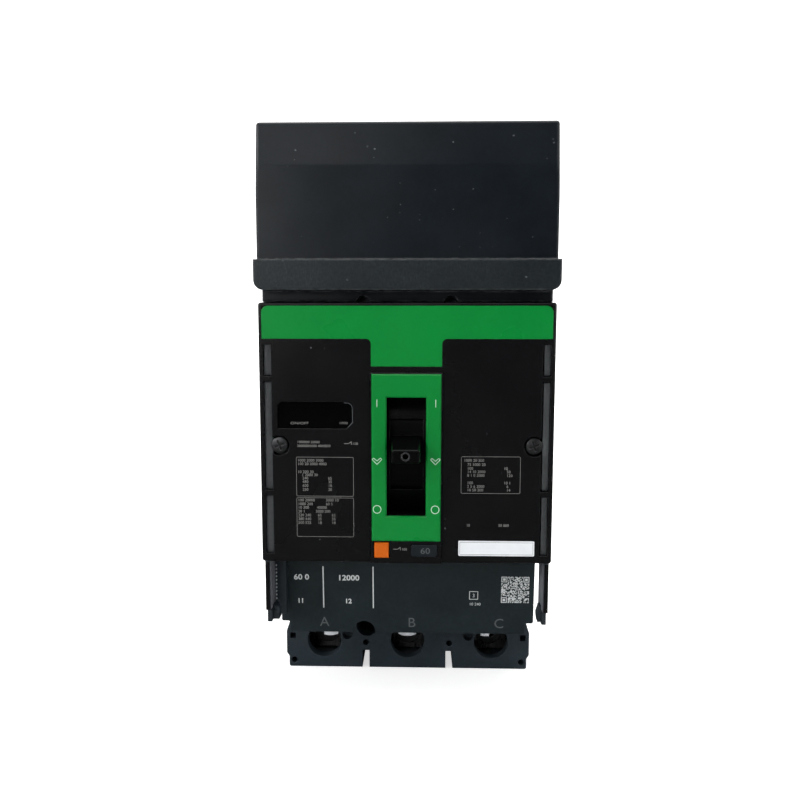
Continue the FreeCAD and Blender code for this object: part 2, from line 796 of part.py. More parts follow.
def button_outline(grow):
    """Limits in X and Z of the button's outline, grown on every side."""
    half_width = f"(button_width / 2 + {grow})"
    half_height = f"(button_height / 2 + {grow})"
    return ((f"button_x - {half_width}", f"button_x + {half_width}"),
            (f"button_z - {half_height}", f"button_z + {half_height}"))


def cover_trim():
    """Green band, escutcheon, green bezel and the rating plate, each in its seat."""
    band = new_body("band_body")
    sketch = new_sketch(band, "band_outline", FRONT, "frame_depth - band_thickness + seam")
    polygon(sketch, band_corners("0"))
    pad(band, sketch, "band_thickness")
    soften(band, "Fillet", "band_corner",
           lambda edge: runs_along(edge, "y") and abs(edge.BoundBox.XMin) > size("stem_width")
           and edge.BoundBox.ZMin > size("band_bottom") + size("seam"))
    soften(band, "Fillet", "band_fillet", at_stem_corner)
    finish(band, "cover_band")

    escutcheon = new_body("escutcheon_body")
    face = "frame_depth - escutcheon_sink + escutcheon_thickness"
    sketch = new_sketch(escutcheon, "escutcheon_outline", FRONT, "frame_depth - escutcheon_sink")
    rectangle(sketch, ("-escutcheon_width / 2", "escutcheon_width / 2"),
              ("-cover_bottom", "escutcheon_top"))
    pad(escutcheon, sketch, "escutcheon_thickness")
    soften(escutcheon, "Fillet", "bezel_chamfer",
           lambda edge: on_front(edge, size("frame_depth") - size("escutcheon_sink")
                                 + size("escutcheon_thickness")))
    window = new_sketch(escutcheon, "escutcheon_window", FRONT, face)
    rectangle(window, ("-window_width / 2", "window_width / 2"), ("-window_bottom", "window_top"))
    rectangle(window, *button_outline("slide_gap"))
    pocket(escutcheon, window, "escutcheon_thickness + 1")
    seats = new_sketch(escutcheon, "escutcheon_seats", FRONT, face)
    rectangle(seats, ("-bezel_width / 2 - seam", "bezel_width / 2 + seam"),
              ("-bezel_bottom - seam", "bezel_top + seam"))
    rectangle(seats, ("plate_left - seam", "plate_right + seam"),
              ("-plate_bottom - seam", "-plate_top + seam"))
    pocket(escutcheon, seats, "bezel_sink")
    finish(escutcheon, "escutcheon")

    bezel = new_body("bezel_body")
    sketch = new_sketch(bezel, "bezel_outline", FRONT, face + " - bezel_sink")
    rectangle(sketch, ("-bezel_width / 2", "bezel_width / 2"), ("-bezel_bottom", "bezel_top"))
    pad(bezel, sketch, "bezel_thickness")
    window = new_sketch(bezel, "bezel_window", FRONT, face + " - bezel_sink + bezel_thickness")
    rectangle(window, ("-window_width / 2", "window_width / 2"), ("-window_bottom", "window_top"))
    pocket(bezel, window, "bezel_thickness + 1")
    bezel_face = (size("frame_depth") - size("escutcheon_sink") + size("escutcheon_thickness")
                  - size("bezel_sink") + size("bezel_thickness"))
    soften(bezel, "Chamfer", "bezel_chamfer", lambda edge: on_front(edge, bezel_face))
    finish(bezel, "handle_bezel")

    plate = new_body("plate_body")
    sketch = new_sketch(plate, "plate_outline", FRONT, face + " - bezel_sink")
    rectangle(sketch, ("plate_left", "plate_right"), ("-plate_bottom", "-plate_top"))
    pad(plate, sketch, "plate_thickness")
    soften(plate, "Fillet", "case_corner / 2", lambda edge: runs_along(edge, "y"))
    finish(plate, "rating_plate")


def trip_button():
    """Push-to-trip button with its flange, its stem and its return spring."""
    seat = f"{BEHIND_COVER} + button_room + button_travel"
    body = new_body("button_body")
    flange = new_sketch(body, "button_flange_outline", FRONT, seat)
    rectangle(flange, *button_outline("button_flange_reach"))
    pad(body, flange, "button_flange")
    head = new_sketch(body, "button_head_outline", FRONT, seat)
    rectangle(head, *button_outline("0"))
    front = "frame_depth - escutcheon_sink + escutcheon_thickness + button_proud"
    pad(body, head, f"{front} - ({seat})")
    face = size("frame_depth") - size("escutcheon_sink") + size("escutcheon_thickness")
    soften(body, "Fillet", "bezel_chamfer",
           lambda edge: on_front(edge, face + size("button_proud")))
    stem = new_sketch(body, "button_stem_outline", FRONT, "button_stem_end")
    circle(stem, "button_x", "button_z", "button_stem")
    pad(body, stem, f"{seat} - button_stem_end")
    finish(body, "trip_button")

    length = size("button_room") + size("button_travel") - size("seam")
    spring = coil("button_spring_coil", size("button_spring_radius"), size("button_spring_wire"),
                  0, length, int(size("button_spring_turns")))
    spot = FreeCAD.Vector(size("button_x"), size("cover_thickness") - size("frame_depth"),
                          size("button_z"))
    spring.Placement = FreeCAD.Placement(spot, FreeCAD.Rotation(ACROSS, 90))
    sleeve = rod_forward("button_spring_bore", "button_stem + slide_gap", "button_x",
                         (f"{BEHIND_COVER} - 1", f"{seat} + 1"), "button_z")
    finish(cut("button_spring_sleeve", spring, [sleeve]), "trip_button_spring")


def screws():
    """Cross-recessed cover screws, case screws and the captive mounting screw."""
    cover_screws = []
    for side, x in (("left", "-cover_screw_x"), ("right", "cover_screw_x")):
        top = "frame_depth - seam * 5"
        seat = "frame_depth - cover_screw_sink"
        head = rod_forward(f"cover_head_{side}", "cover_screw_head", x, (seat, top),
                           "cover_screw_z")
        shank = rod_forward(f"cover_shank_{side}", "cover_screw_shank", x,
                            (f"{seat} - cover_screw_length + cover_screw_sink", seat),
                            "cover_screw_z")
        whole = fuse(f"cover_blank_{side}", [head, shank])
        arms = []
        for turn, reach_x, reach_z in (("flat", "cover_screw_head * 0.55", "seam * 4"),
                                       ("tall", "seam * 4", "cover_screw_head * 0.55")):
            arms.append(block(f"cover_cross_{turn}_{side}", (f"{x} - {reach_x}", f"{x} + {reach_x}"),
                              (f"{top} - 1", f"{top} + 1"),
                              (f"cover_screw_z - {reach_z}", f"cover_screw_z + {reach_z}")))
        cover_screws.append(cut(f"cover_screw_{side}", whole, arms))
    finish(gather("cover_screw_pair", cover_screws), "cover_screws")

    case_screws = []
    for side in ("-", ""):
        for z in ("case_screw_top", "case_screw_low"):
            tag = f"{z}_{'left' if side else 'right'}"
            x = f"{side}case_screw_x"
            seat = f"{BEHIND_COVER} - case_screw_head_height"
            head = rod_forward(f"head_{tag}", "case_screw_head", x, (seat, BEHIND_COVER), z)
            shank = rod_forward(f"shank_{tag}", "case_screw_shank", x, ("case_screw_end", seat), z)
            case_screws.append(fuse(f"screw_{tag}", [head, shank]))
    finish(gather("case_screw_set", case_screws), "case_screws")

    x, z = "mounting_screw_x", "mounting_screw_z"
    top = "mounting_head_seat + mounting_head_height"
    head = rod_forward("mounting_head", "mounting_screw_head", x, ("mounting_head_seat", top), z)
    shank = rod_forward("mounting_shank", "mounting_screw_radius", x,
                        ("seam * 5", "mounting_head_seat"), z)
    slot = block("mounting_slot", (f"{x} - mounting_screw_head - 1", f"{x} + mounting_screw_head + 1"),
                 (f"{top} - 2", f"{top} + 1"), (f"{z} - 0.6", f"{z} + 0.6"))
    finish(cut("mounting_screw_solid", fuse("mounting_blank", [head, shank]), [slot]),
           "mounting_screw")


# ---- handle ------------------------------------------------------------------


def arc_shell(name, width, inner, outer, half_angle):
    """Slice of a tube about X, centred on the forward direction of its pivot."""
    span = (f"-({width}) / 2", f"({width}) / 2")
    tube = cut(name + "_tube", rod_across(name + "_outer", outer, span, "0", "0"),
               [rod_across(name + "_inner", inner, span, "0", "0")])
    return slice_of(name, tube, span, f"({outer}) * 1.5", half_angle)


def wedge(name, span, reach, half_angle):
    """Triangular prism that opens forward from the pivot."""
    rise = f"{reach} * tan({half_angle} * 1 deg)"
    return prism(name, span, [("0", "0"), (reach, f"-{rise}"), (reach, rise)])


def slice_of(name, tube, span, reach, half_angle):
    """The part of a tube that lies inside a wedge."""
    common = document.addObject("Part::Common", name)
    common.Base = tube
    common.Tool = wedge(name + "_wedge", span, reach, half_angle)
    return common


def handle():
    """Toggle, curved barrel and socket in one moulding, built about the handle's axis."""
    barrel = arc_shell("barrel", "barrel_width", "barrel_inner", "barrel_outer",
                       "barrel_half_angle")
    socket = block("handle_socket", ("-toggle_tip_width / 2", "toggle_tip_width / 2"),
                   ("yoke_bridge + yoke_steel", "barrel_inner + 1"),
                   ("-yoke_bridge_height / 2", "yoke_bridge_height / 2"))
    toggle = new_body("toggle_body")
    root, reach = "(barrel_outer - 1)", "toggle_reach"
    profile = new_sketch(toggle, "toggle_profile", SIDE)
    polygon(profile, [(f"-{root}", "-toggle_root_height / 2"), (f"-{reach}", "-toggle_tip_height / 2"),
                      (f"-{reach}", "toggle_tip_height / 2"), (f"-{root}", "toggle_root_height / 2")])
    pad(toggle, profile, "toggle_root_width", both_ways=True)
    taper = new_sketch(toggle, "toggle_taper", ABOVE)
    for sign in ("-", ""):
        outside = f"{sign}(toggle_root_width / 2 + 1)"
        polygon(taper, [(f"{sign}toggle_tip_width / 2", f"-{reach}"), (outside, f"-{reach}"),
                        (outside, f"-{root}"), (f"{sign}toggle_root_width / 2", f"-{root}")])
    pocket(toggle, taper, "2 * toggle_root_height", both_ways=True)
    proud = size("barrel_outer")
    soften(toggle, "Fillet", "toggle_round", lambda edge: edge.BoundBox.YMin < -proud)
    hole = new_sketch(toggle, "toggle_socket_outline", FRONT, "toggle_reach")
    turns = [f"{60 * index + 30} deg" for index in range(6)]
    polygon(hole, [(f"toggle_socket * cos({turn})", f"toggle_socket * sin({turn})")
                   for turn in turns])
    pocket(toggle, hole, "toggle_socket_depth")
    solid = fuse("handle_solid", [barrel, socket, toggle])
    finish(at_handle(solid, -size("handle_tilt")), "handle")


def at_handle(item, angle):
    """Turns an item about the handle's axis."""
    return turn_about(item, 0, size("handle_axis_depth"), size("handle_axis_z"), angle)


def handle_shutter():
    """Curved shutter that closes the window round the handle."""
    inner = "barrel_outer + slide_gap"
    outer = "barrel_outer + slide_gap + shutter_thickness"
    shell = arc_shell("shutter", "shutter_width", inner, outer, "shutter_half_angle")
    slot = wedge("shutter_slot", ("-shutter_slot_width / 2", "shutter_slot_width / 2"),
                 "barrel_outer * 1.5", "shutter_slot_angle")
    finish(at_handle(cut("shutter_solid", shell, [slot]), 0), "handle_shutter")


def handle_yoke():
    """Steel fork that carries the handle and turns on the handle's pin."""
    parts = [block("yoke_bridge_plate", ("-yoke_width / 2", "yoke_width / 2"),
                   ("yoke_bridge", "yoke_bridge + yoke_steel"),
                   ("-yoke_bridge_height / 2", "yoke_bridge_height / 2"))]
    for side, sign in (("left", "-"), ("right", "")):
        inside, outside = f"{sign}(yoke_width / 2 - yoke_steel)", f"{sign}yoke_width / 2"
        span = (outside, inside) if sign else (inside, outside)
        parts.append(block(f"yoke_leg_{side}", span, ("0", "yoke_bridge + yoke_steel"),
                           ("-yoke_bridge_height / 2", "yoke_bridge_height / 2")))
        parts.append(rod_across(f"yoke_hub_{side}", "yoke_hub", span, "0", "0"))
    hole = rod_across("yoke_bore", "handle_pin_radius + running_gap",
                      ("-yoke_width", "yoke_width"), "0", "0")
    solid = cut("yoke_solid", fuse("yoke_blank", parts), [hole])
    finish(at_handle(solid, -size("handle_tilt")), "handle_yoke")


# ---- operating mechanism -----------------------------------------------------


def turned(z, depth, angle):
    """Point (z, depth) turned about the origin; a positive angle takes Z forward."""
    turn = math.radians(angle)
    return (z * math.cos(turn) - depth * math.sin(turn),
            z * math.sin(turn) + depth * math.cos(turn))


def linkage():
    """Crank pin, cradle pin and knee of the toggle linkage at rest, as (z, depth)."""
    crank = turned(size("crank_radius"), 0, size("crossbar_tilt") + size("crank_angle"))
    crank = (size("crossbar_z") + crank[0], size("crossbar_depth") + crank[1])
    arm = turned(-size("cradle_link_arm"), 0, -size("cradle_rise"))
    hook = (size("cradle_z") + arm[0], size("cradle_depth") + arm[1])
    across = (hook[0] - crank[0], hook[1] - crank[1])
    span = math.hypot(*across)
    lower, upper = size("lower_link_length"), size("upper_link_length")
    along = (lower ** 2 - upper ** 2 + span ** 2) / (2 * span)
    aside = math.sqrt(lower ** 2 - along ** 2)
    knee = (crank[0] + (across[0] * along + across[1] * aside) / span,
            crank[1] + (across[1] * along - across[0] * aside) / span)
    return crank, hook, knee


def direction(start, end):
    """Angle from Z towards the front of the line between two (z, depth) points."""
    return math.degrees(math.atan2(end[1] - start[1], end[0] - start[0]))


def link_plate(name, span, length):
    """Round-ended bar along Z from its own first hole."""
    ends = [rod_across(name + "_near", "link_width / 2", span, "0", "0"),
            rod_across(name + "_far", "knee_eye", span, "0", length)]
    middle = block(name + "_bar", span, ("-link_width / 2", "link_width / 2"), ("0", length))
    return fuse(name, ends + [middle])


def both_sides(name, inner, thickness):
    """Names and X limits of a left and a right plate."""
    return ((name + "_left", (f"-({inner} + {thickness})", f"-({inner})")),
            (name + "_right", (inner, f"{inner} + {thickness}")))


def links():
    """Upper pair of link plates from the cradle to the knee, and the lower pair to the crossbar."""
    crank, hook, knee = linkage()
    upper = [link_plate(name, span, "upper_link_length")
             for name, span in both_sides("upper_plate", "upper_link_x", "link_steel")]
    hole = rod_across("upper_knee_hole", "knee_pin_radius + knee_clearance",
                      ("-pole_pitch", "pole_pitch"), "0", "upper_link_length")
    rivet = rod_across("upper_rivet", "crank_pin_radius",
                       ("-(upper_link_x + link_steel)", "upper_link_x + link_steel"), "0", "0")
    solid = fuse("upper_link_solid", [cut("upper_drilled", fuse("upper_plates", upper), [hole]),
                                      rivet])
    turn_about(solid, 0, hook[1], hook[0], direction(hook, knee))
    finish(solid, "upper_link")

    lower = [link_plate(name, span, "lower_link_length")
             for name, span in both_sides("lower_plate", "lower_link_x", "link_steel")]
    hole = rod_across("lower_crank_hole", "crank_pin_radius + running_gap",
                      ("-pole_pitch", "pole_pitch"), "0", "0")
    pin = rod_across("knee_pin", "knee_pin_radius", ("-knee_pin_reach", "knee_pin_reach"),
                     "0", "lower_link_length")
    solid = fuse("lower_link_solid", [cut("lower_drilled", fuse("lower_plates", lower), [hole]),
                                      pin])
    turn_about(solid, 0, crank[1], crank[0], direction(crank, knee))
    finish(solid, "lower_link")


def cradle():
    """Latched lever, built pointing down from its own pivot."""
    half = "cradle_height / 2"
    span = ("-cradle_thickness / 2", "cradle_thickness / 2")
    blade = prism("cradle_blade", span, [
        (f"-{half}", "0"), (half, "0"), (half, "-cradle_reach + cradle_height"),
        ("0", "-cradle_reach"), (f"-{half}", "-cradle_reach")])
    eye = rod_across("cradle_eye", "cradle_height * 0.8", span, "0", "0")
    wide = ("-pole_pitch", "pole_pitch")
    holes = [rod_across("cradle_pivot_hole", "cradle_pin_radius + running_gap", wide, "0", "0"),
             rod_across("cradle_link_hole", "crank_pin_radius + running_gap", wide, "0",
                        "-cradle_link_arm")]
    solid = cut("cradle_solid", fuse("cradle_blank", [blade, eye]), holes)
    turn_about(solid, 0, size("cradle_depth"), size("cradle_z"), -size("cradle_rise"))
    finish(solid, "cradle")


def side_plates():
    """Two steel plates with bent feet that stand on the chamber walls."""
    plates = []
    for name, span in both_sides("side_plate", "side_plate_x", "side_plate_steel"):
        lobe = "handle_axis_depth - yoke_hub"
        shoulder = "handle_axis_depth + 1"
        sheet_body = prism(name, span, [
            (shoulder, "-side_plate_bottom"), (shoulder, "handle_axis_z - 2 * yoke_hub"),
            (lobe, "handle_axis_z - yoke_hub"), (lobe, "handle_axis_z + yoke_hub"),
            (shoulder, "handle_axis_z + 2 * yoke_hub"), (shoulder, "side_plate_top"),
            ("side_plate_front - 6", "side_plate_top"), ("side_plate_front", "side_plate_top - 8"),
            ("side_plate_front", "-side_plate_bottom")])
        sign = "-" if name.endswith("left") else ""
        feet = []
        for index, low in enumerate(("-side_plate_bottom", "side_plate_top - foot_height")):
            ends = (f"{sign}side_plate_x", f"{sign}(case_screw_x + 1)")
            feet.append(block(f"{name}_foot_{index}", ends[::-1] if sign else ends,
                              ("rear_case_depth", "rear_case_depth + side_plate_steel"),
                              (low, f"{low} + foot_height")))
        holes = [rod_across(f"{name}_{index}", radius, ("-pole_pitch", "pole_pitch"), depth, z)
                 for index, (_, radius, depth, z) in enumerate(PINS)]
        plates.append(cut(name + "_solid", fuse(name + "_blank", [sheet_body] + feet), holes))
    finish(gather("side_plate_pair", plates), "side_plates")

    reach = "(side_plate_x + side_plate_steel)"
    pins = [rod_across(name, radius, (f"-{reach}", reach), depth, z)
            for name, radius, depth, z in PINS]
    finish(gather("pin_set", pins), "mechanism_pins")


PINS = (
    ("handle_pin", "handle_pin_radius", "handle_axis_depth", "handle_axis_z"),
    ("cradle_pin", "cradle_pin_radius", "cradle_depth", "cradle_z"),
    ("latch_pin", "armature_pin", "latch_depth", "latch_z"),
)


def latch():
    """Hinged plate with a lip over the cradle's end and a tail under the trip bar's tab."""
    span = ("-latch_width / 2", "latch_width / 2")
    sheet_z = ("-latch_steel / 2", "latch_steel / 2")
    tab_rear = "button_stem_end - slide_gap - paddle_thickness"
    tail_face = f"({tab_rear} - latch_tail_gap - latch_depth)"
    tail = (f"{tail_face} - latch_steel", tail_face)
    tail_x = ("button_x - latch_steel", "button_x + latch_steel")
    lip = "(latch_lip_depth - latch_depth)"
    parts = [
        block("latch_plate", span, ("0", tail_face), sheet_z),
        block("latch_lip", span, (lip, f"{lip} + latch_steel"),
              ("0", "cradle_z - latch_z - cradle_reach - 2 * slide_gap")),
        block("latch_shoulder", (tail_x[0], span[1]), tail, sheet_z),
        block("latch_tail", tail_x, tail, ("latch_tail_end - latch_z", "0")),
        rod_across("latch_hub", "armature_pin + 1", span, "0", "0")]
    bore = rod_across("latch_bore", "armature_pin + running_gap", ("-pole_pitch", "pole_pitch"),
                      "0", "0")
    solid = cut("latch_solid", fuse("latch_blank", parts), [bore])
    finish(turn_about(solid, 0, size("latch_depth"), size("latch_z"), 0), "latch")


def coil(name, radius, wire, start, length, turns):
    """Close-wound spring along Z: one grooved column, a ring for each turn."""
    step = length / turns
    profile = [(0, start)]
    for index in range(turns):
        foot = start + index * step
        profile += [(radius, foot), (radius, foot + step / 4), (radius + wire, foot + step / 4),
                    (radius + wire, foot + 3 * step / 4), (radius, foot + 3 * step / 4)]
    profile += [(radius, start + length), (0, start + length), (0, start)]
    outline = Part.makePolygon([FreeCAD.Vector(x, 0, z) for x, z in profile])
    spring = document.addObject("Part::Feature", name)
    spring.Shape = Part.Face(outline).revolve(FreeCAD.Vector(), FreeCAD.Vector(0, 0, 1), 360)
    return spring


def main_springs():
    """Close-wound springs from the fork's bridge to the ends of the knee pin."""
    _, _, knee = linkage()
    reach = turned(0, size("yoke_bridge"), size("handle_tilt"))
    hook = (size("handle_axis_z") - reach[0], size("handle_axis_depth") + reach[1])
    start = size("knee_pin_radius") + size("slide_gap")
    length = math.dist(knee, hook) - start - size("main_spring_eye")
    springs = []
    for side, x in (("left", -size("main_spring_x")), ("right", size("main_spring_x"))):
        spring = coil(f"main_spring_{side}", size("main_spring_radius"), size("main_spring_wire"),
                      start, length, int(size("main_spring_turns")))
        springs.append(turn_about(spring, x, knee[1], knee[0], direction(knee, hook)))
    finish(gather("main_spring_pair", springs), "main_springs")


def crossbar():
    """Stepped rotor shaft with its three drums and the crank of the middle pole."""
    body = new_body("crossbar_body")
    profile = new_sketch(body, "crossbar_profile", ABOVE)
    drum = "drum_width / 2"
    steps = [(f"-pole_pitch - {drum}", f"-pole_pitch + {drum}", "drum_radius"),
             (f"-pole_pitch + {drum}", f"-{drum}", "journal_radius"),
             (f"-{drum}", "-middle_groove_width / 2", "drum_radius"),
             ("-middle_groove_width / 2", "middle_groove_width / 2", "middle_groove"),
             ("middle_groove_width / 2", drum, "drum_radius"),
             (drum, f"pole_pitch - {drum}", "journal_radius"),
             (f"pole_pitch - {drum}", f"pole_pitch + {drum}", "drum_radius")]
    corners = [(steps[0][0], "0")]
    for start, end, radius in steps:
        corners += [(start, radius), (end, radius)]
    polygon(profile, corners + [(steps[-1][1], "0")])
    shaft = body.newObject("PartDesign::Revolution", "crossbar_revolution")
    shaft.Profile = profile
    shaft.ReferenceAxis = (profile, ["H_Axis"])
    shaft.Angle = 360
    ears = []
    for name, span in both_sides("crank_ear", "crank_x", "crank_thickness"):
        ears.append(block(name, span, ("-crank_eye", "crank_eye"),
                          ("middle_groove", "crank_radius")))
        ears.append(rod_across(name + "_eye", "crank_eye", span, "0", "crank_radius"))
    reach = "(crank_x + crank_thickness)"
    pin = rod_across("crank_pin", "crank_pin_radius", (f"-{reach}", reach), "0", "crank_radius")
    crank = turn_about(fuse("crank", ears + [pin]), 0, 0, 0, size("crank_angle"))
    slots = [block(f"arm_slot_{pole}",
                   (f"{x} - arm_width / 2 - seam / 2", f"{x} + arm_width / 2 + seam / 2"),
                   ("-arm_height / 2 - seam / 2", "arm_height / 2 + seam / 2"),
                   ("-crank_radius", "crank_radius")) for pole, x, _ in POLES]
    solid = fuse("crossbar_solid", [cut("crossbar_slotted", body, slots), crank])
    turn_about(solid, 0, size("crossbar_depth"), size("crossbar_z"), size("crossbar_tilt"))
    finish(solid, "crossbar")


# ---- current path ------------------------------------------------------------


def contact_arm(pole, x):
    """Double-break arm with a pad on the front of one end and the rear of the other."""
    span = (f"{x} - arm_width / 2", f"{x} + arm_width / 2")
    half = "arm_height / 2"
    bar = block(f"arm_bar_{pole}", span, (f"-{half}", half), ("-arm_half_length", "arm_half_length"))
    upper = block(f"arm_upper_pad_{pole}", span, (half, f"{half} + pad_thickness"),
                  ("arm_half_length - pad_length", "arm_half_length"))
    lower = block(f"arm_lower_pad_{pole}", span, (f"-{half} - pad_thickness", f"-{half}"),
                  ("-arm_half_length", "-arm_half_length + pad_length"))
    solid = fuse(f"arm_solid_{pole}", [bar, upper, lower])
    turn_about(solid, 0, size("crossbar_depth"), size("crossbar_z"), size("crossbar_tilt"))
    finish(solid, f"contact_arm_{pole}")


def fixed_pad(name, x, sign):
    """Inclined contact block that the closed arm meets, about the crossbar's axis."""
    near = "(arm_height / 2 + pad_thickness + slide_gap)"
    face = f"({near} + pad_thickness)"
    back = f"({face} + conductor_thickness)"
    pads = []
    for tag, width, low, high, start, end in (
            ("pad", "arm_width", near, face, "arm_half_length - pad_length", "arm_half_length"),
            ("plate", "conductor_width", face, back, "arm_half_length - pad_length - 1",
             "conductor_end")):
        depth = (low, high) if sign > 0 else (f"-{high}", f"-{low}")
        z = (start, end) if sign > 0 else (f"-({end})", f"-({start})")
        pads.append(block(f"{name}_{tag}", (f"{x} - {width} / 2", f"{x} + {width} / 2"), depth, z))
    block_pair = fuse(name, pads)
    angle = size("crossbar_tilt") + size("closing_angle")
    return turn_about(block_pair, 0, size("crossbar_depth"), size("crossbar_z"), angle)


def line_contact(pole, x, slot):
    """Line conductor: inclined pad, bar, riser to its bus slot and jaw tongue."""
    centre = f"(bus_rear + {slot} * bus_spacing)"
    span = (f"{x} - conductor_width / 2", f"{x} + conductor_width / 2")
    bar_top = "line_level + conductor_thickness"
    riser_top = "riser_z + conductor_thickness"
    half = "tongue_thickness / 2"
    low, high = (("line_level", f"{centre} + {half}") if slot
                 else (f"{centre} - {half}", bar_top))
    pieces = [
        fixed_pad(f"line_pad_{pole}", x, 1),
        block(f"line_bar_{pole}", span, ("line_level", bar_top),
              ("crossbar_z + arm_half_length * 0.75", riser_top)),
        block(f"line_riser_{pole}", span, (low, high), ("riser_z", riser_top)),
        block(f"line_tongue_{pole}", span, (f"{centre} - {half}", f"{centre} + {half}"),
              ("riser_z", "tongue_end"))]
    finish(fuse(f"line_solid_{pole}", pieces), f"line_contact_{pole}")


def load_contact(pole, x):
    """Load-side fixed contact with its strap out of the chamber."""
    span = (f"{x} - conductor_width / 2", f"{x} + conductor_width / 2")
    strap = block(f"load_strap_{pole}", span, ("strap_level", "strap_level + conductor_thickness"),
                  ("-trip_top - seam * 5", "crossbar_z - arm_half_length * 0.75"))
    finish(fuse(f"load_solid_{pole}", [fixed_pad(f"load_pad_{pole}", x, -1), strap]),
           f"load_contact_{pole}")


def chute(name, x, start, direction_sign, depth):
    """Stack of notched steel plates between two cheeks; the notch faces the arm."""
    far = f"({start} + {direction_sign} * chute_length)"
    near_z = (start, far) if direction_sign > 0 else (far, start)
    count = int(size("chute_plates"))
    plates = [block(f"{name}_plate_{index}",
                    (f"{x} - chute_half_width", f"{x} + chute_half_width"),
                    (f"{depth} + {index} * chute_pitch", f"{depth} + {index} * chute_pitch + chute_plate"),
                    near_z) for index in range(count)]
    tall = (f"{depth} - 1", f"{depth} + {count - 1} * chute_pitch + chute_plate + 1")
    notch_end = f"{start} + {direction_sign} * chute_notch_depth"
    notch_z = ((f"{start} - 1", notch_end) if direction_sign > 0
               else (notch_end, f"{start} + 1"))
    notch = block(name + "_notch",
                  (f"{x} - chute_notch_width / 2", f"{x} + chute_notch_width / 2"), tall, notch_z)
    cheeks = [block(f"{name}_cheek_{index}", span, tall, near_z) for index, span in enumerate((
        (f"{x} - chute_half_width - chute_cheek", f"{x} - chute_half_width"),
        (f"{x} + chute_half_width", f"{x} + chute_half_width + chute_cheek")))]
    return fuse(name, [cut(name + "_notched", fuse(name + "_stack", plates), [notch])] + cheeks)


def arc_chutes(pole, x):
    """Two stacks of splitter plates for one pole, one for each contact."""
    stacks = [chute(f"line_chute_{pole}", x, "line_chute_start", 1, "line_chute_depth"),
              chute(f"load_chute_{pole}", x, "load_chute_start", -1, "load_chute_depth")]
    finish(gather(f"chutes_{pole}", stacks), f"arc_chutes_{pole}")


# ---- trip unit ---------------------------------------------------------------


def trip_unit_case():
    """Moulded trip housing whose label face ends in a brow that overhangs the lugs."""
    body = new_body("trip_case_body")
    profile = new_sketch(body, "trip_profile", SIDE)
    corners = [("trip_rear", "-trip_top"), ("trip_front", "-trip_top"),
               ("trip_front - trip_slope", "-trip_end"), ("lug_plane + seam", "-trip_end"),
               ("lug_plane + seam", "-trip_back"), ("trip_rear", "-trip_back")]
    polygon(profile, [(f"-({depth})", z) for depth, z in corners])
    pad(body, profile, "trip_width", both_ways=True)
    ends = new_sketch(body, "trip_end_corners", FRONT, "trip_front")
    for sign in ("-", ""):
        rectangle(ends, (f"{sign}(trip_width / 2 - trip_tab_width)", f"{sign}(trip_width / 2 + 1)"),
                  ("-trip_end - 1", "-trip_step"))
    pocket(body, ends, "trip_front - lug_plane + seam")
    soften(body, "Fillet", "case_corner / 2",
           lambda edge: edge.BoundBox.YMin < -size("trip_front") + size("trip_slope") - 0.1
           and edge.BoundBox.YLength > 0.5 and edge.BoundBox.XLength < 1e-4)
    room = new_sketch(body, "trip_room", FRONT, "trip_rear")
    half = "(trip_width / 2 - trip_wall)"
    divide = "(pole_pitch / 2)"
    inside = ("-trip_back + trip_wall", "-trip_top - trip_wall")
    rectangle(room, (f"-{half}", f"-{divide} - trip_wall / 2"), inside)
    rectangle(room, (f"-{divide} + trip_wall / 2", f"{divide} - trip_wall / 2"), inside)
    rectangle(room, (f"{divide} + trip_wall / 2", half), inside)
    pocket(body, room, "trip_front - trip_slope - trip_face - trip_rear", backwards=True)
    ways = new_sketch(body, "trip_strap_ways", FRONT, "trip_rear")
    half_way = "(conductor_width / 2 + slide_gap)"
    for _, x, _ in POLES:
        rectangle(ways, (f"{x} - {half_way}", f"{x} + {half_way}"),
                  ("-trip_back - 1", "-trip_top + 1"))
    pocket(body, ways, "strap_level + conductor_thickness + seam - trip_rear", backwards=True)
    bar_way = new_sketch(body, "trip_bar_way", SIDE)
    clear = "(trip_bar_radius + running_gap)"
    circle(bar_way, "-trip_bar_depth", "trip_bar_z", clear)
    pocket(body, bar_way, "pole_pitch + 3 * trip_wall", both_ways=True)
    bar_gate = new_sketch(body, "trip_bar_gate", SIDE)
    rectangle(bar_gate, ("-trip_bar_depth", "-trip_rear"),
              (f"trip_bar_z - {clear}", f"trip_bar_z + {clear}"))
    pocket(body, bar_gate, "pole_pitch + 3 * trip_wall", both_ways=True)
    tab_way = new_sketch(body, "trip_tab_way", FRONT, "button_stem_end + 2 * slide_gap")
    rectangle(tab_way, ("button_x - button_width / 2 - slide_gap",
                        "button_x + button_width / 2 + slide_gap"),
              ("trip_bar_z - paddle_thickness - 2 * slide_gap", "-trip_top + 1"))
    pocket(body, tab_way, "button_stem_end - rear_case_depth")
    access = new_sketch(body, "trip_screw_access", FRONT, "trip_front")
    circle(access, "mounting_screw_x", "-(trip_end - access_notch_lip)", "access_notch")
    pocket(body, access, "trip_front - lug_plane + 1")
    finish(body, "trip_unit_case")


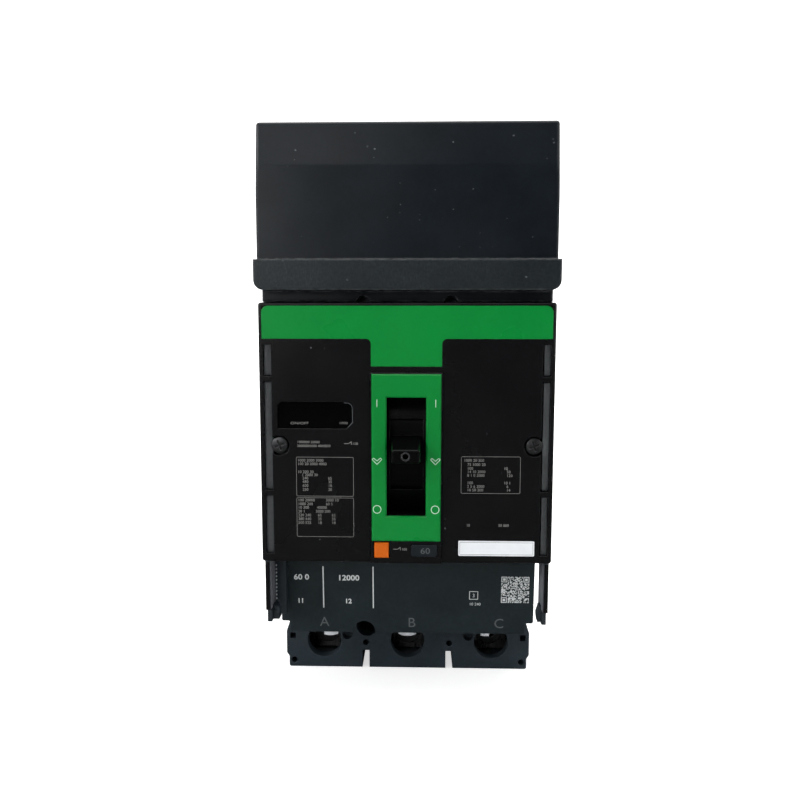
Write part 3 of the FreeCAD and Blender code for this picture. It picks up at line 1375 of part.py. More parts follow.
def trip_bar():
    """Insulating bar with the button's tab and one paddle for each pole."""
    reach = ("-trip_bar_reach", "trip_bar_reach")
    parts = [rod_across("trip_bar_rod", "trip_bar_radius", reach, "trip_bar_depth", "trip_bar_z")]
    tab = ("button_x - button_width / 2", "button_x + button_width / 2")
    tab_face = "button_stem_end - slide_gap"
    parts.append(block("trip_tab", tab, (f"{tab_face} - paddle_thickness", tab_face),
                       ("trip_bar_z - paddle_thickness", "trip_tab_end")))
    parts.append(block("trip_tab_root", tab, ("trip_bar_depth", tab_face),
                       ("trip_bar_z - paddle_thickness", "trip_bar_z + paddle_thickness")))
    for pole, x, _ in POLES:
        parts.append(block(f"paddle_{pole}", (f"{x} - bimetal_width", f"{x} + bimetal_width"),
                           ("trip_bar_depth - trip_bar_radius - paddle_length", "trip_bar_depth"),
                           ("trip_bar_z - paddle_thickness / 2",
                            "trip_bar_z + paddle_thickness / 2")))
    finish(fuse("trip_bar_solid", parts), "trip_bar")


def heater(pole, x):
    """Load strap under the lug with its upright bimetal and calibrating screw."""
    top = "strap_level + conductor_thickness"
    strap = block(f"heater_strap_{pole}", (f"{x} - conductor_width / 2", f"{x} + conductor_width / 2"),
                  ("strap_level", top), ("-(lug_start + lug_length)", "-trip_top - seam * 5"))
    blade = block(f"bimetal_{pole}", (f"{x} - bimetal_width - seam * 5", f"{x} - seam * 5"),
                  (top, "trip_bar_depth - trip_bar_radius - paddle_length / 4"),
                  ("bimetal_z", "bimetal_z + bimetal_thickness"))
    screw_depth = "trip_bar_depth - trip_bar_radius - paddle_length / 2"
    screw = rod_up(f"calibrator_{pole}", "bimetal_thickness", f"{x} - bimetal_width / 2",
                   screw_depth, ("trip_bar_z + paddle_thickness / 2 + 2 * slide_gap",
                                 "bimetal_z + bimetal_thickness + 1"))
    finish(fuse(f"heater_solid_{pole}", [strap, blade, screw]), f"heater_{pole}")


def magnet_yoke(pole, x):
    """U-shaped steel core with two ears that carry the armature's pin."""
    web_z = ("yoke_web_z - yoke_core_steel", "yoke_web_z")
    left = f"{x} - armature_width / 2 - slide_gap"
    right = f"{x} + armature_width / 2 + slide_gap"
    low, high = "yoke_core_depth", "yoke_core_depth + yoke_core_height"
    parts = [block(f"core_web_{pole}", (left, right), (low, high), web_z)]
    ears = [("left", (f"{left} - yoke_core_steel", left)),
            ("right", (right, f"{right} + yoke_core_steel"))]
    for side, span in ears:
        parts.append(block(f"core_leg_{side}_{pole}", span, (low, high),
                           ("armature_z + armature_gap + armature_steel", "yoke_web_z")))
        parts.append(block(f"core_ear_{side}_{pole}", span,
                           (high, "armature_depth + armature_pin * 3"),
                           ("armature_z - armature_pin * 3", "yoke_web_z")))
    bore = rod_across(f"core_bore_{pole}", "armature_pin + running_gap",
                      (f"{x} - pole_pitch / 2", f"{x} + pole_pitch / 2"),
                      "armature_depth", "armature_z + armature_steel / 2")
    return cut(f"core_{pole}", fuse(f"core_blank_{pole}", parts), [bore])


def armature(pole, x):
    """Hinged plate: wide pole face below the pin, narrow striker above it."""
    z = ("armature_z", "armature_z + armature_steel")
    wide = (f"{x} - armature_width / 2 - yoke_core_steel", f"{x} + armature_width / 2 + yoke_core_steel")
    inner = (f"{x} - armature_width / 2", f"{x} + armature_width / 2")
    high = "yoke_core_depth + yoke_core_height - slide_gap * 2"
    parts = [block(f"pole_face_{pole}", wide, ("yoke_core_depth", high), z),
             block(f"armature_neck_{pole}", inner, (high, "armature_depth + armature_pin * 2"), z),
             block(f"striker_{pole}", (f"{x} + 1", f"{x} + bimetal_width"),
                   ("armature_depth", "armature_depth + armature_length"), z),
             rod_across(f"armature_pin_{pole}", "armature_pin",
                        (f"{x} - armature_width / 2 - slide_gap - yoke_core_steel",
                         f"{x} + armature_width / 2 + slide_gap + yoke_core_steel"),
                        "armature_depth", "armature_z + armature_steel / 2")]
    finish(fuse(f"armature_solid_{pole}", parts), f"armature_{pole}")


# ---- load end ----------------------------------------------------------------


def lug_cover():
    """Plate over the load end, with the screw holes, slots and small sinks."""
    body = new_body("lug_cover_body")
    sketch = new_sketch(body, "lug_cover_outline", FRONT, "lug_plane - lug_cover_thickness")
    half = "load_end_width / 2"
    left, right = [], []
    for reach, z in ((f"{half} - 1.5", "-lug_cover_top"), (f"{half} + 1", "-lug_cover_top - 8"),
                     (f"{half} + 1", "-load_end + 6"), (half, "-load_end + 4.5"),
                     (half, "-load_end")):
        left.append((f"-({reach})", z))
        right.append((reach, z))
    polygon(sketch, left + right[::-1])
    pad(body, sketch, "lug_cover_thickness")
    soften(body, "Fillet", "case_corner / 2", lambda edge: runs_along(edge, "y"))
    holes = new_sketch(body, "lug_cover_holes", FRONT, "lug_plane")
    for _, x, _ in POLES:
        circle(holes, x, "lug_screw_z", "lug_hole_radius")
    circle(holes, "mounting_screw_x", "mounting_screw_z", "mounting_access")
    for sign in ("-", ""):
        middle = f"{sign}pole_pitch / 2"
        circle(holes, middle, "lug_screw_z - 0.7", "small_hole")
        circle(holes, f"{sign}({half} - 2.2)", "-load_end + 2.8", "small_hole")
        rectangle(holes, (f"{sign}({half} - 2.8)", f"{sign}({half} - 0.4)"),
                  ("lug_screw_z + 0.6", "lug_screw_z + 3.2"))
        rectangle(holes, (f"{middle} - barrier_slot / 2", f"{middle} + barrier_slot / 2"),
                  ("-load_end - 1", "-barrier_slot_top"))
    pocket(body, holes, "lug_cover_thickness + 1")
    sinks = new_sketch(body, "lug_cover_sinks", FRONT, "lug_plane")
    for sign in ("-", ""):
        circle(sinks, f"{sign}side_sink_x", "side_sink_z", "side_sink")
    pocket(body, sinks, "side_sink_depth")
    finish(body, "lug_cover")


def lug(pole, x):
    """Aluminium box lug: wire bore from the load end, binding screw from the front."""
    span = (f"{x} - lug_width / 2", f"{x} + lug_width / 2")
    base = "strap_level + conductor_thickness"
    box = block(f"lug_box_{pole}", span, (base, "lug_top"),
                ("-(lug_start + lug_length)", "-lug_start"))
    bore = rod_up(f"lug_bore_{pole}", "lug_bore", x, "lug_bore_depth",
                  ("-(lug_start + lug_length) - 1", "-lug_start + 1"))
    tap = rod_forward(f"lug_tap_{pole}", "lug_screw_radius + running_gap", x,
                      ("lug_bore_depth", "lug_top + 1"), "lug_screw_z")
    finish(cut(f"lug_solid_{pole}", box, [bore, tap]), f"lug_{pole}")

    top = "lug_screw_rest + lug_screw_length"
    shank = rod_forward(f"binding_screw_{pole}", "lug_screw_radius", x, ("lug_screw_rest", top),
                        "lug_screw_z")
    socket = new_body(f"binding_socket_{pole}")
    hexagon = new_sketch(socket, f"binding_hexagon_{pole}", FRONT, f"{top} - lug_socket_depth")
    turns = [f"{60 * index} deg" for index in range(6)]
    polygon(hexagon, [(f"{x} + lug_socket * cos({turn})", f"lug_screw_z + lug_socket * sin({turn})")
                      for turn in turns])
    pad(socket, hexagon, "lug_socket_depth + 1")
    finish(cut(f"binding_solid_{pole}", shank, [socket]), f"lug_screw_{pole}")


def mounting_bracket():
    """Steel strap on the rear face, with its two hook windows and the screw's hole."""
    body = new_body("bracket_body")
    sketch = new_sketch(body, "bracket_outline", FRONT)
    rectangle(sketch, ("-bracket_width / 2", "bracket_width / 2"),
              ("-bracket_bottom", "bracket_top"))
    pad(body, sketch, "bracket_steel")
    soften(body, "Fillet", "case_corner", lambda edge: runs_along(edge, "y"))
    holes = new_sketch(body, "bracket_holes", FRONT, "bracket_steel")
    circle(holes, "mounting_screw_x", "mounting_screw_z", "mounting_screw_radius + slide_gap")
    for sign in ("-", ""):
        rectangle(holes, (f"{sign}bracket_width / 8", f"{sign}bracket_width * 3 / 8"),
                  ("bracket_top - 12", "bracket_top - 6"))
    pocket(body, holes, "bracket_steel + 1")
    finish(body, "mounting_bracket")


# ---- plug-on line end --------------------------------------------------------


def plug_on_base():
    """Comb of four fingers; the three slots between them take the bus bars."""
    body = new_body("comb_body")
    profile = new_sketch(body, "comb_profile", SIDE)
    tip = "housing_top - housing_wall"
    corners = [("housing_rear", "case_top + seam"), ("housing_rear", tip)]
    for _, _, slot in POLES[::-1]:
        centre = f"bus_rear + {slot} * bus_spacing"
        rear, front = f"{centre} - bus_slot / 2", f"{centre} + bus_slot / 2"
        corners += [(rear, tip), (rear, "bus_slot_floor"), (front, "bus_slot_floor"), (front, tip)]
    corners += [("housing_split", tip), ("housing_split", "case_top + seam")]
    polygon(profile, [(f"-({depth})", z) for depth, z in corners])
    pad(body, profile, "frame_width - 2 * housing_side", both_ways=True)
    top = size("housing_top") - size("housing_wall")
    soften(body, "Fillet", "finger_round",
           lambda edge: runs_along(edge, "x") and edge.BoundBox.ZMin > top - 1e-3)
    rooms = []
    for pole, x, slot in POLES:
        centre = f"(bus_rear + {slot} * bus_spacing)"
        rooms.append(block(f"jaw_room_{pole}",
                           (f"{x} - jaw_pocket_width / 2", f"{x} + jaw_pocket_width / 2"),
                           (f"{centre} - jaw_pocket_height / 2", f"{centre} + jaw_pocket_height / 2"),
                           ("jaw_pocket_start", "jaw_pocket_end")))
        half = "(conductor_width / 2 + slide_gap)"
        low, high = (("line_level - seam", f"{centre} + jaw_pocket_height / 2") if slot
                     else (f"{centre} - jaw_pocket_height / 2",
                           "line_level + conductor_thickness + seam"))
        rooms.append(block(f"riser_room_{pole}", (f"{x} - {half}", f"{x} + {half}"), (low, high),
                           ("case_top - 1", "riser_z + conductor_thickness + 1.2")))
    finish(cut("comb_solid", body, rooms), "plug_on_base")


def plug_on_cover():
    """Tall drafted front wall with its lip band and the neck above the cover."""
    body = new_body("shield_body")
    back = "housing_split + seam"
    low = "case_top + seam"
    face = new_sketch(body, "shield_profile", SIDE)
    polygon(face, [(f"-({depth})", z) for depth, z in (
        (back, low), ("housing_face", low), ("housing_face", "housing_shoulder"),
        ("housing_face - housing_lean", "housing_top"), (back, "housing_top"))])
    pad(body, face, "frame_width", both_ways=True)
    soften(body, "Fillet", "housing_corner",
           lambda edge: edge.BoundBox.ZMin > size("lip_top") and edge.BoundBox.YMin
           < -size("housing_split") - 2 and edge.BoundBox.ZMax > size("housing_shoulder") + 1)
    hollow = new_sketch(body, "shield_hollow", FRONT, back)
    inner = f"({HALF_FRAME} - housing_side)"
    rectangle(hollow, (f"-{inner}", inner), ("lip_top + housing_wall", "housing_top - housing_wall"))
    pocket(body, hollow, f"housing_face - housing_lean - housing_wall - ({back})", backwards=True)
    rim = new_sketch(body, "shield_rim", FRONT, "housing_side_return")
    inside = f"({HALF_FRAME} - housing_side + seam)"
    polygon(rim, [(f"-{HALF_FRAME}", low), (f"-{inside}", low),
                  (f"-{inside}", "housing_top - housing_wall + seam"),
                  (inside, "housing_top - housing_wall + seam"), (inside, low),
                  (HALF_FRAME, low), (HALF_FRAME, "housing_top"), (f"-{HALF_FRAME}", "housing_top")])
    pad(body, rim, f"{back} - housing_side_return")
    lip = new_sketch(body, "shield_lip", FRONT, "lip_return")
    wide = f"({HALF_FRAME} + lip_overhang)"
    for sign in ("-", ""):
        rectangle(lip, (f"{sign}{inside}", f"{sign}{wide}"), (low, "lip_top"))
    pad(body, lip, f"frame_depth + lip_proud - lip_return")
    band = new_sketch(body, "shield_lip_band", FRONT, back)
    rectangle(band, (f"-{wide}", wide), (low, "lip_top"))
    pad(body, band, f"frame_depth + lip_proud - ({back})")
    foot = size("case_top") + size("seam")
    lip_side = (size("frame_width") + size("lip_overhang")) / 2
    soften(body, "Fillet", "lip_corner",
           lambda edge: runs_along(edge, "y") and abs(edge.BoundBox.XMax) > lip_side
           and edge.BoundBox.ZMin < foot + 1e-3)
    neck = new_sketch(body, "shield_neck", FRONT, f"{BEHIND_COVER} + seam")
    half_neck = f"({HALF_FRAME} - neck_inset)"
    rectangle(neck, (f"-{half_neck}", half_neck), ("cover_top + 4 * seam", "case_top + 1"))
    pad(body, neck, "cover_thickness - neck_depth - seam")
    recess = new_sketch(body, "shield_recesses", FRONT, "frame_depth - neck_depth")
    for sign in ("-", ""):
        circle(recess, f"{sign}neck_recess_x", "cover_top", "neck_recess")
    pocket(body, recess, "cover_thickness")
    finish(body, "plug_on_cover")


def jaw(pole, x, slot):
    """Two copper blades either side of the tongue, flared at the mouth of the slot."""
    centre = f"(bus_rear + {slot} * bus_spacing)"
    span = (f"{x} - jaw_width / 2", f"{x} + jaw_width / 2")
    blades = []
    for tag, sign in (("rear", "-"), ("front", "+")):
        near = f"{centre} {sign} tongue_thickness / 2"
        far = f"{near} {sign} jaw_thickness"
        blades.append(prism(f"jaw_{tag}_{pole}", span, [
            (near, "jaw_start"), (near, "jaw_bend"), (f"{near} {sign} jaw_flare", "jaw_end"),
            (f"{far} {sign} jaw_flare", "jaw_end"), (far, "jaw_bend"), (far, "jaw_start")]))
    finish(gather(f"jaw_pair_{pole}", blades), f"jaw_{pole}")


def jaw_spring(pole, x, slot):
    """Spring clip: two leaves on the blades, tied by a band at each edge of the jaw."""
    centre = f"(bus_rear + {slot} * bus_spacing)"
    inner = "(tongue_thickness / 2 + jaw_thickness)"
    outer = f"({inner} + jaw_spring_steel)"
    span = (f"{x} - jaw_spring_width / 2", f"{x} + jaw_spring_width / 2")
    clip_x = (f"{x} - jaw_width / 2 - jaw_spring_steel", f"{x} + jaw_width / 2 + jaw_spring_steel")
    parts = []
    for tag, sign in (("rear", "-"), ("front", "+")):
        faces = [f"{centre} {sign} {inner}", f"{centre} {sign} {outer}"]
        depth = tuple(faces[::-1] if sign == "-" else faces)
        parts.append(block(f"leaf_{tag}_{pole}", span, depth, ("jaw_start", "jaw_spring_end")))
        parts.append(block(f"clip_{tag}_{pole}", clip_x, depth, ("jaw_start", "jaw_clip_end")))
    depth = (f"{centre} - {outer}", f"{centre} + {outer}")
    for tag, edge in (("left", (clip_x[0], f"{x} - jaw_width / 2")),
                      ("right", (f"{x} + jaw_width / 2", clip_x[1]))):
        parts.append(block(f"clip_{tag}_{pole}", edge, depth, ("jaw_start", "jaw_clip_end")))
    return fuse(f"jaw_clip_{pole}", parts)


# ---- assembly ----------------------------------------------------------------

rear_case()
front_case()
accessory_cover()
cover_trim()
trip_button()
screws()
handle()
handle_shutter()
handle_yoke()
side_plates()
links()
cradle()
latch()
main_springs()
crossbar()
trip_unit_case()
trip_bar()
lug_cover()
mounting_bracket()
plug_on_base()
plug_on_cover()
for pole, x, slot in POLES:
    contact_arm(pole, x)
    line_contact(pole, x, slot)
    load_contact(pole, x)
    arc_chutes(pole, x)
    heater(pole, x)
    armature(pole, x)
    lug(pole, x)
    jaw(pole, x, slot)
finish(gather("magnet_yoke_set", [magnet_yoke(pole, x) for pole, x, _ in POLES]), "magnet_yokes")
finish(gather("jaw_spring_set", [jaw_spring(*pole) for pole in POLES]), "jaw_springs")
document.recompute()

for item in document.Objects:
    if "Invalid" in item.State or "Error" in item.State:
        raise RuntimeError(f"{item.Name} did not build: {item.State}")

os.makedirs("parts", exist_ok=True)
for item in NODES:
    if item.Shape.isNull() or not item.Shape.isValid():
        raise RuntimeError(f"{item.Label} is not a valid shape")
    item.Shape.exportStep(f"parts/{item.Label}.step")
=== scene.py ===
import json
import logging
import math
import random
from dataclasses import dataclass
from enum import Enum
from typing import Iterable, Mapping, Sequence

import bmesh
import bpy
from mathutils import Matrix, Vector


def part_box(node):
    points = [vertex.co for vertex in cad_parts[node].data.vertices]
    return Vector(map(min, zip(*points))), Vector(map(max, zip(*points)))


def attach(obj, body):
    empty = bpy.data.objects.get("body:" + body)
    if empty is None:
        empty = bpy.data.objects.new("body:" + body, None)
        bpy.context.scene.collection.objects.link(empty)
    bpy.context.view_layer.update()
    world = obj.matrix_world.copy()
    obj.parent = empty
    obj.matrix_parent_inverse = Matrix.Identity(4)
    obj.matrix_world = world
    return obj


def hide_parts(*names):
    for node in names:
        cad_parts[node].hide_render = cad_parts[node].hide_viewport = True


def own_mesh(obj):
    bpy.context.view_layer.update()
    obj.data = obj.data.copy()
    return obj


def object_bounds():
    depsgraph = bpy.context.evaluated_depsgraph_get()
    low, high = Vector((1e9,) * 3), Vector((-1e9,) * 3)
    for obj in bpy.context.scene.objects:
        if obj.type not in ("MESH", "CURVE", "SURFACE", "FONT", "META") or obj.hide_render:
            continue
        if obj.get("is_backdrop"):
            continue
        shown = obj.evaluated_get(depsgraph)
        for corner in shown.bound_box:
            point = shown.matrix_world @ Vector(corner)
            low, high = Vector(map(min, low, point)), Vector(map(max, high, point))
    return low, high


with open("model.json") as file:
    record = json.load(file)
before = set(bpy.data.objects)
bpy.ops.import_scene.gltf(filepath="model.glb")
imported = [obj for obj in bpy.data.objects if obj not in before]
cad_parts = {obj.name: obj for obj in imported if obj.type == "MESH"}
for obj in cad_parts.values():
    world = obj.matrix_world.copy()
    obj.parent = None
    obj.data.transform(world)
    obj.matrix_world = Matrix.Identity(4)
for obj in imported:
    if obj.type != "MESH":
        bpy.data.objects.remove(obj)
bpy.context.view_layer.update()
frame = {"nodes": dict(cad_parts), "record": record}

LOG = logging.getLogger("molded_case_breaker")
MM = 0.001
Colour = tuple[float, float, float]
Outline = Sequence[tuple[float, float]]
Box = tuple[float, float, float, float]
PanelNumber = tuple[str, float, float, float, float, float]
Socket = bpy.types.NodeSocket
Sockets = Mapping[str, Socket]
RIGHT = Vector((1, 0, 0))
UP = Vector((0, 0, 1))
WHITE = (1.0, 1.0, 1.0, 1.0)


# ---- shader graphs -----------------------------------------------------------


class Graph:
    """Adds and links the nodes of one node tree."""

    def __init__(self, tree: bpy.types.NodeTree) -> None:
        """Starts on an existing tree.

        Args:
            tree: the node tree to fill.
        """
        self.tree = tree

    def node(self, kind: str, **settings: object) -> bpy.types.Node:
        """Adds a node.

        Args:
            kind: the node's type name.
            settings: attributes to set on it.

        Returns:
            The new node.
        """
        made = self.tree.nodes.new(kind)
        for name, value in settings.items():
            setattr(made, name, value)
        return made

    def feed(self, socket: Socket, value: object) -> None:
        """Links a socket into another one, or sets its plain value.

        Args:
            socket: the input to fill.
            value: an output socket, a number or a colour.
        """
        if isinstance(value, Socket):
            self.tree.links.new(value, socket)
        else:
            socket.default_value = value

    def fill(self, kind: str, values: Iterable[object], **settings: object) -> bpy.types.Node:
        """Adds a node and fills its first inputs in turn.

        Args:
            kind: the node's type name.
            values: its inputs, as sockets or plain values.
            settings: attributes to set on it.

        Returns:
            The new node.
        """
        made = self.node(kind, **settings)
        for socket, value in zip(made.inputs, values):
            self.feed(socket, value)
        return made

    def calc(self, operation: str, *values: object, clamp: bool = False) -> Socket:
        """Adds a Math node.

        Args:
            operation: the sum it does.
            values: its inputs, as sockets or numbers.
            clamp: keeps the answer from 0 to 1.

        Returns:
            Its output.
        """
        return self.fill("ShaderNodeMath", values, operation=operation,
                         use_clamp=clamp).outputs[0]

    def times(self, *values: object) -> Socket:
        """Multiplies values with each other.

        Args:
            values: two or more, as sockets or numbers.

        Returns:
            The product.
        """
        product = values[0]
        for value in values[1:]:
            product = self.calc("MULTIPLY", product, value)
        return product

    def vector(self, operation: str, *values: object) -> Sockets:
        """Adds a Vector Math node and gives its outputs, Vector and Value."""
        return self.fill("ShaderNodeVectorMath", values, operation=operation).outputs

    def span(self, value: object, low: object, high: object, to_low: object = 0.0,
             to_high: object = 1.0, smooth: bool = False) -> Socket:
        """Maps a value from one span to another.

        Args:
            value: what is mapped.
            low: the value that gives to_low.
            high: the value that gives to_high.
            to_low: the first end of the answer.
            to_high: the other end of the answer.
            smooth: eases both ends.

        Returns:
            The mapped value.
        """
        return self.fill("ShaderNodeMapRange", (value, low, high, to_low, to_high),
                         interpolation_type="SMOOTHSTEP" if smooth else "LINEAR").outputs[0]

    def blend(self, factor: object, first: object, second: object) -> Socket:
        """Mixes two colours.

        Args:
            factor: 0 gives the first one, 1 the second one.
            first: a colour or a socket.
            second: a colour or a socket.

        Returns:
            The mixed colour.
        """
        made = self.node("ShaderNodeMix", data_type="RGBA")
        self.feed(made.inputs["Factor"], factor)
        sockets = [socket for socket in made.inputs if socket.type == "RGBA"]
        for socket, value in zip(sockets, (first, second)):
            self.feed(socket, (*value, 1.0) if isinstance(value, tuple) else value)
        return next(socket for socket in made.outputs if socket.type == "RGBA")

    def noise(self, scale: object, detail: float = 3.0, where: object = None) -> Socket:
        """Adds a noise texture in object space.

        Args:
            scale: its scale, per metre.
            detail: its octaves.
            where: its coordinates, or None for the object's own.

        Returns:
            Its value.
        """
        made = self.node("ShaderNodeTexNoise")
        self.feed(made.inputs["Vector"], where or self.spot())
        self.feed(made.inputs["Scale"], scale)
        self.feed(made.inputs["Detail"], detail)
        return made.outputs[0]

    def spot(self) -> Socket:
        """Gives the object coordinates of the shaded point."""
        return self.node("ShaderNodeTexCoord").outputs["Object"]


class Effect(Enum):
    """Surface effects that several finishes share."""

    EDGES = "worn_edges"
    GRAIN = "moulded_grain"
    DUST = "settled_dust"
    SMUDGE = "handled_smudges"
    BRUSH = "brushed_lines"
    TARNISH = "tarnish_patches"
    SCUFF = "scuffed_band"


class EffectShelf:
    """Builds each shared effect once, as a shader node group."""

    def __init__(self) -> None:
        """Starts with no effect built."""
        self.made: dict[Effect, bpy.types.NodeTree] = {}

    def place(self, graph: Graph, effect: Effect, **values: object) -> Sockets:
        """Puts an effect into a material.

        Args:
            graph: the material's graph.
            effect: which effect.
            values: its inputs by name.

        Returns:
            Its outputs.
        """
        if effect not in self.made:
            self.made[effect] = getattr(self, f"_{effect.name.lower()}")(effect.value)
        made = graph.node("ShaderNodeGroup", node_tree=self.made[effect])
        for name, value in values.items():
            graph.feed(made.inputs[name], value)
        return made.outputs

    @staticmethod
    def _open(name: str, inputs: dict[str, float],
              outputs: Iterable[str]) -> tuple[Graph, Sockets, Sockets]:
        """Starts a node group.

        Args:
            name: the group's name.
            inputs: each input's name and usual value.
            outputs: the outputs' names; Normal is a vector, the others are numbers.

        Returns:
            Its graph, the sockets that give its inputs and those that take its outputs.
        """
        tree = bpy.data.node_groups.new(name, "ShaderNodeTree")
        for label, usual in inputs.items():
            socket = tree.interface.new_socket(name=label, in_out="INPUT",
                                               socket_type="NodeSocketFloat")
            socket.default_value = usual
        for label in outputs:
            kind = "NodeSocketVector" if label == "Normal" else "NodeSocketFloat"
            tree.interface.new_socket(name=label, in_out="OUTPUT", socket_type=kind)
        graph = Graph(tree)
        return graph, graph.node("NodeGroupInput").outputs, graph.node("NodeGroupOutput").inputs

    def _edges(self, name: str) -> bpy.types.NodeTree:
        """Rounded normals on sharp edges, and a broken-up mask of them that carries worn edges, and
        on some finishes a painted edge highlight.

        Args:
            name: the group's name.

        Returns:
            Its tree.
        """
        graph, given, out = self._open(
            name, {"Radius": 0.0003, "Breakup": 400.0, "Amount": 0.5}, ("Mask", "Normal"))
        bevel = graph.node("ShaderNodeBevel", samples=6)
        graph.feed(bevel.inputs["Radius"], given["Radius"])
        flat = graph.node("ShaderNodeNewGeometry").outputs["Normal"]
        turn = graph.vector("DOT_PRODUCT", bevel.outputs[0], flat)["Value"]
        edge = graph.span(graph.calc("SUBTRACT", 1.0, turn), 0.01, 0.22)
        # breaks the edge mask into patches, for worn edges and for painted edge highlights
        rub_and_sheen = graph.span(graph.noise(given["Breakup"], 5.0), 0.38, 0.62)
        graph.feed(out["Mask"], graph.calc("MULTIPLY", graph.times(edge, rub_and_sheen), given["Amount"],
                                           clamp=True))
        graph.feed(out["Normal"], bevel.outputs[0])
        return graph.tree

    def _grain(self, name: str) -> bpy.types.NodeTree:
        """Spark-eroded mould texture, with a slow drift of the shade.

        Args:
            name: the group's name.

        Returns:
            Its tree.
        """
        graph, given, out = self._open(name, {"Scale": 2600.0, "Flow": 60.0}, ("Height", "Tone"))
        cells = graph.node("ShaderNodeTexVoronoi", feature="SMOOTH_F1")
        graph.feed(cells.inputs["Vector"], graph.spot())
        graph.feed(cells.inputs["Scale"], given["Scale"])
        fine = graph.noise(graph.times(given["Scale"], 1.7), 2.0)
        graph.feed(out["Height"], graph.calc("ADD", cells.outputs["Distance"], fine))
        slow = graph.noise(given["Flow"], 2.0)
        mottle = graph.noise(graph.times(given["Scale"], 0.25), 2.0)
        graph.feed(out["Tone"], graph.calc("ADD", graph.times(slow, 0.6),
                                           graph.times(mottle, 0.4)))
        return graph.tree

    def _dust(self, name: str) -> bpy.types.NodeTree:
        """Scattered specks that gather in loose clouds.

        Args:
            name: the group's name.

        Returns:
            Its tree.
        """
        graph, given, out = self._open(
            name, {"Scale": 260.0, "Size": 0.16, "Density": 0.3}, ("Mask",))
        warp = graph.node("ShaderNodeTexNoise")
        graph.feed(warp.inputs["Vector"], graph.spot())
        graph.feed(warp.inputs["Scale"], 900.0)
        bent = graph.vector("MULTIPLY_ADD", warp.outputs["Color"], (0.0006, 0.0006, 0.0006),
                            graph.spot())["Vector"]
        cells = graph.node("ShaderNodeTexVoronoi")
        graph.feed(cells.inputs["Vector"], bent)
        graph.feed(cells.inputs["Scale"], given["Scale"])
        draw, share, pale = graph.fill("ShaderNodeSeparateColor", (cells.outputs["Color"],)).outputs
        speck = graph.calc("LESS_THAN", cells.outputs["Distance"],
                           graph.times(share, given["Size"]))
        cloud = graph.span(graph.noise(28.0, 2.0), 0.42, 0.68, 0.15, 1.0)
        kept = graph.calc("LESS_THAN", draw, graph.times(given["Density"], cloud))
        graph.feed(out["Mask"], graph.times(speck, kept, pale))
        return graph.tree

    def _smudge(self, name: str) -> bpy.types.NodeTree:
        """Soft patches where hands and cloths changed the gloss.

        Args:
            name: the group's name.

        Returns:
            Its tree.
        """
        graph, given, out = self._open(name, {"Scale": 35.0}, ("Mask",))
        wide = graph.noise(given["Scale"], 1.5)
        small = graph.noise(graph.times(given["Scale"], 5.0), 2.0)
        both = graph.calc("ADD", graph.times(wide, 0.85), graph.times(small, 0.15))
        graph.feed(out["Mask"], graph.span(both, 0.28, 0.72, smooth=True))
        return graph.tree

    def _brush(self, name: str) -> bpy.types.NodeTree:
        """Rolling and brushing lines along a metal piece.

        Args:
            name: the group's name.

        Returns:
            Its tree.
        """
        graph, given, out = self._open(name, {"Scale": 900.0, "Stretch": 14.0}, ("Height", "Tone"))
        squeeze = graph.fill("ShaderNodeCombineXYZ",
                             (1.0, 1.0, graph.calc("DIVIDE", 1.0, given["Stretch"])))
        scaled = graph.vector("MULTIPLY", graph.spot(), squeeze.outputs[0])["Vector"]
        lines = graph.noise(given["Scale"], 6.0, scaled)
        graph.feed(out["Height"], lines)
        graph.feed(out["Tone"], graph.span(lines, 0.3, 0.7))
        return graph.tree

    def _scuff(self, name: str) -> bpy.types.NodeTree:
        """Fine rubbing on the part of a moulding that hands and panels touch.

        Args:
            name: the group's name.

        Returns:
            Its tree.
        """
        graph, given, out = self._open(name, {"Low": 0.0, "High": 0.01}, ("Mask",))
        rise = graph.fill("ShaderNodeSeparateXYZ", (graph.spot(),)).outputs[2]
        inside = graph.times(graph.calc("GREATER_THAN", rise, given["Low"]),
                             graph.calc("LESS_THAN", rise, given["High"]))
        slant = graph.node("ShaderNodeMapping")
        slant.inputs["Rotation"].default_value = (0.0, math.radians(38), 0.0)
        slant.inputs["Scale"].default_value = (1.0, 1.0, 0.3)
        graph.feed(slant.inputs[0], graph.spot())
        rubs = graph.span(graph.noise(1700.0, 3.0, slant.outputs[0]), 0.5, 0.72)
        mottle = graph.noise(1100.0, 4.0)
        areas = graph.span(graph.noise(60.0, 2.0), 0.38, 0.62, smooth=True)
        haze = graph.calc("ADD", graph.times(rubs, areas, 0.4), graph.times(mottle, 0.6))
        graph.feed(out["Mask"], graph.times(inside, haze))
        return graph.tree

    def _tarnish(self, name: str) -> bpy.types.NodeTree:
        """Patches of oxide and heat colour on bare metal; on the aluminium they also paint shade.

        Args:
            name: the group's name.

        Returns:
            Its tree.
        """
        graph, given, out = self._open(name, {"Scale": 120.0, "Amount": 0.5}, ("Mask",))
        patches = graph.span(graph.noise(given["Scale"], 6.0), 0.45, 0.68, smooth=True)
        graph.feed(out["Mask"], graph.times(patches, given["Amount"]))
        return graph.tree


# ---- finishes ----------------------------------------------------------------


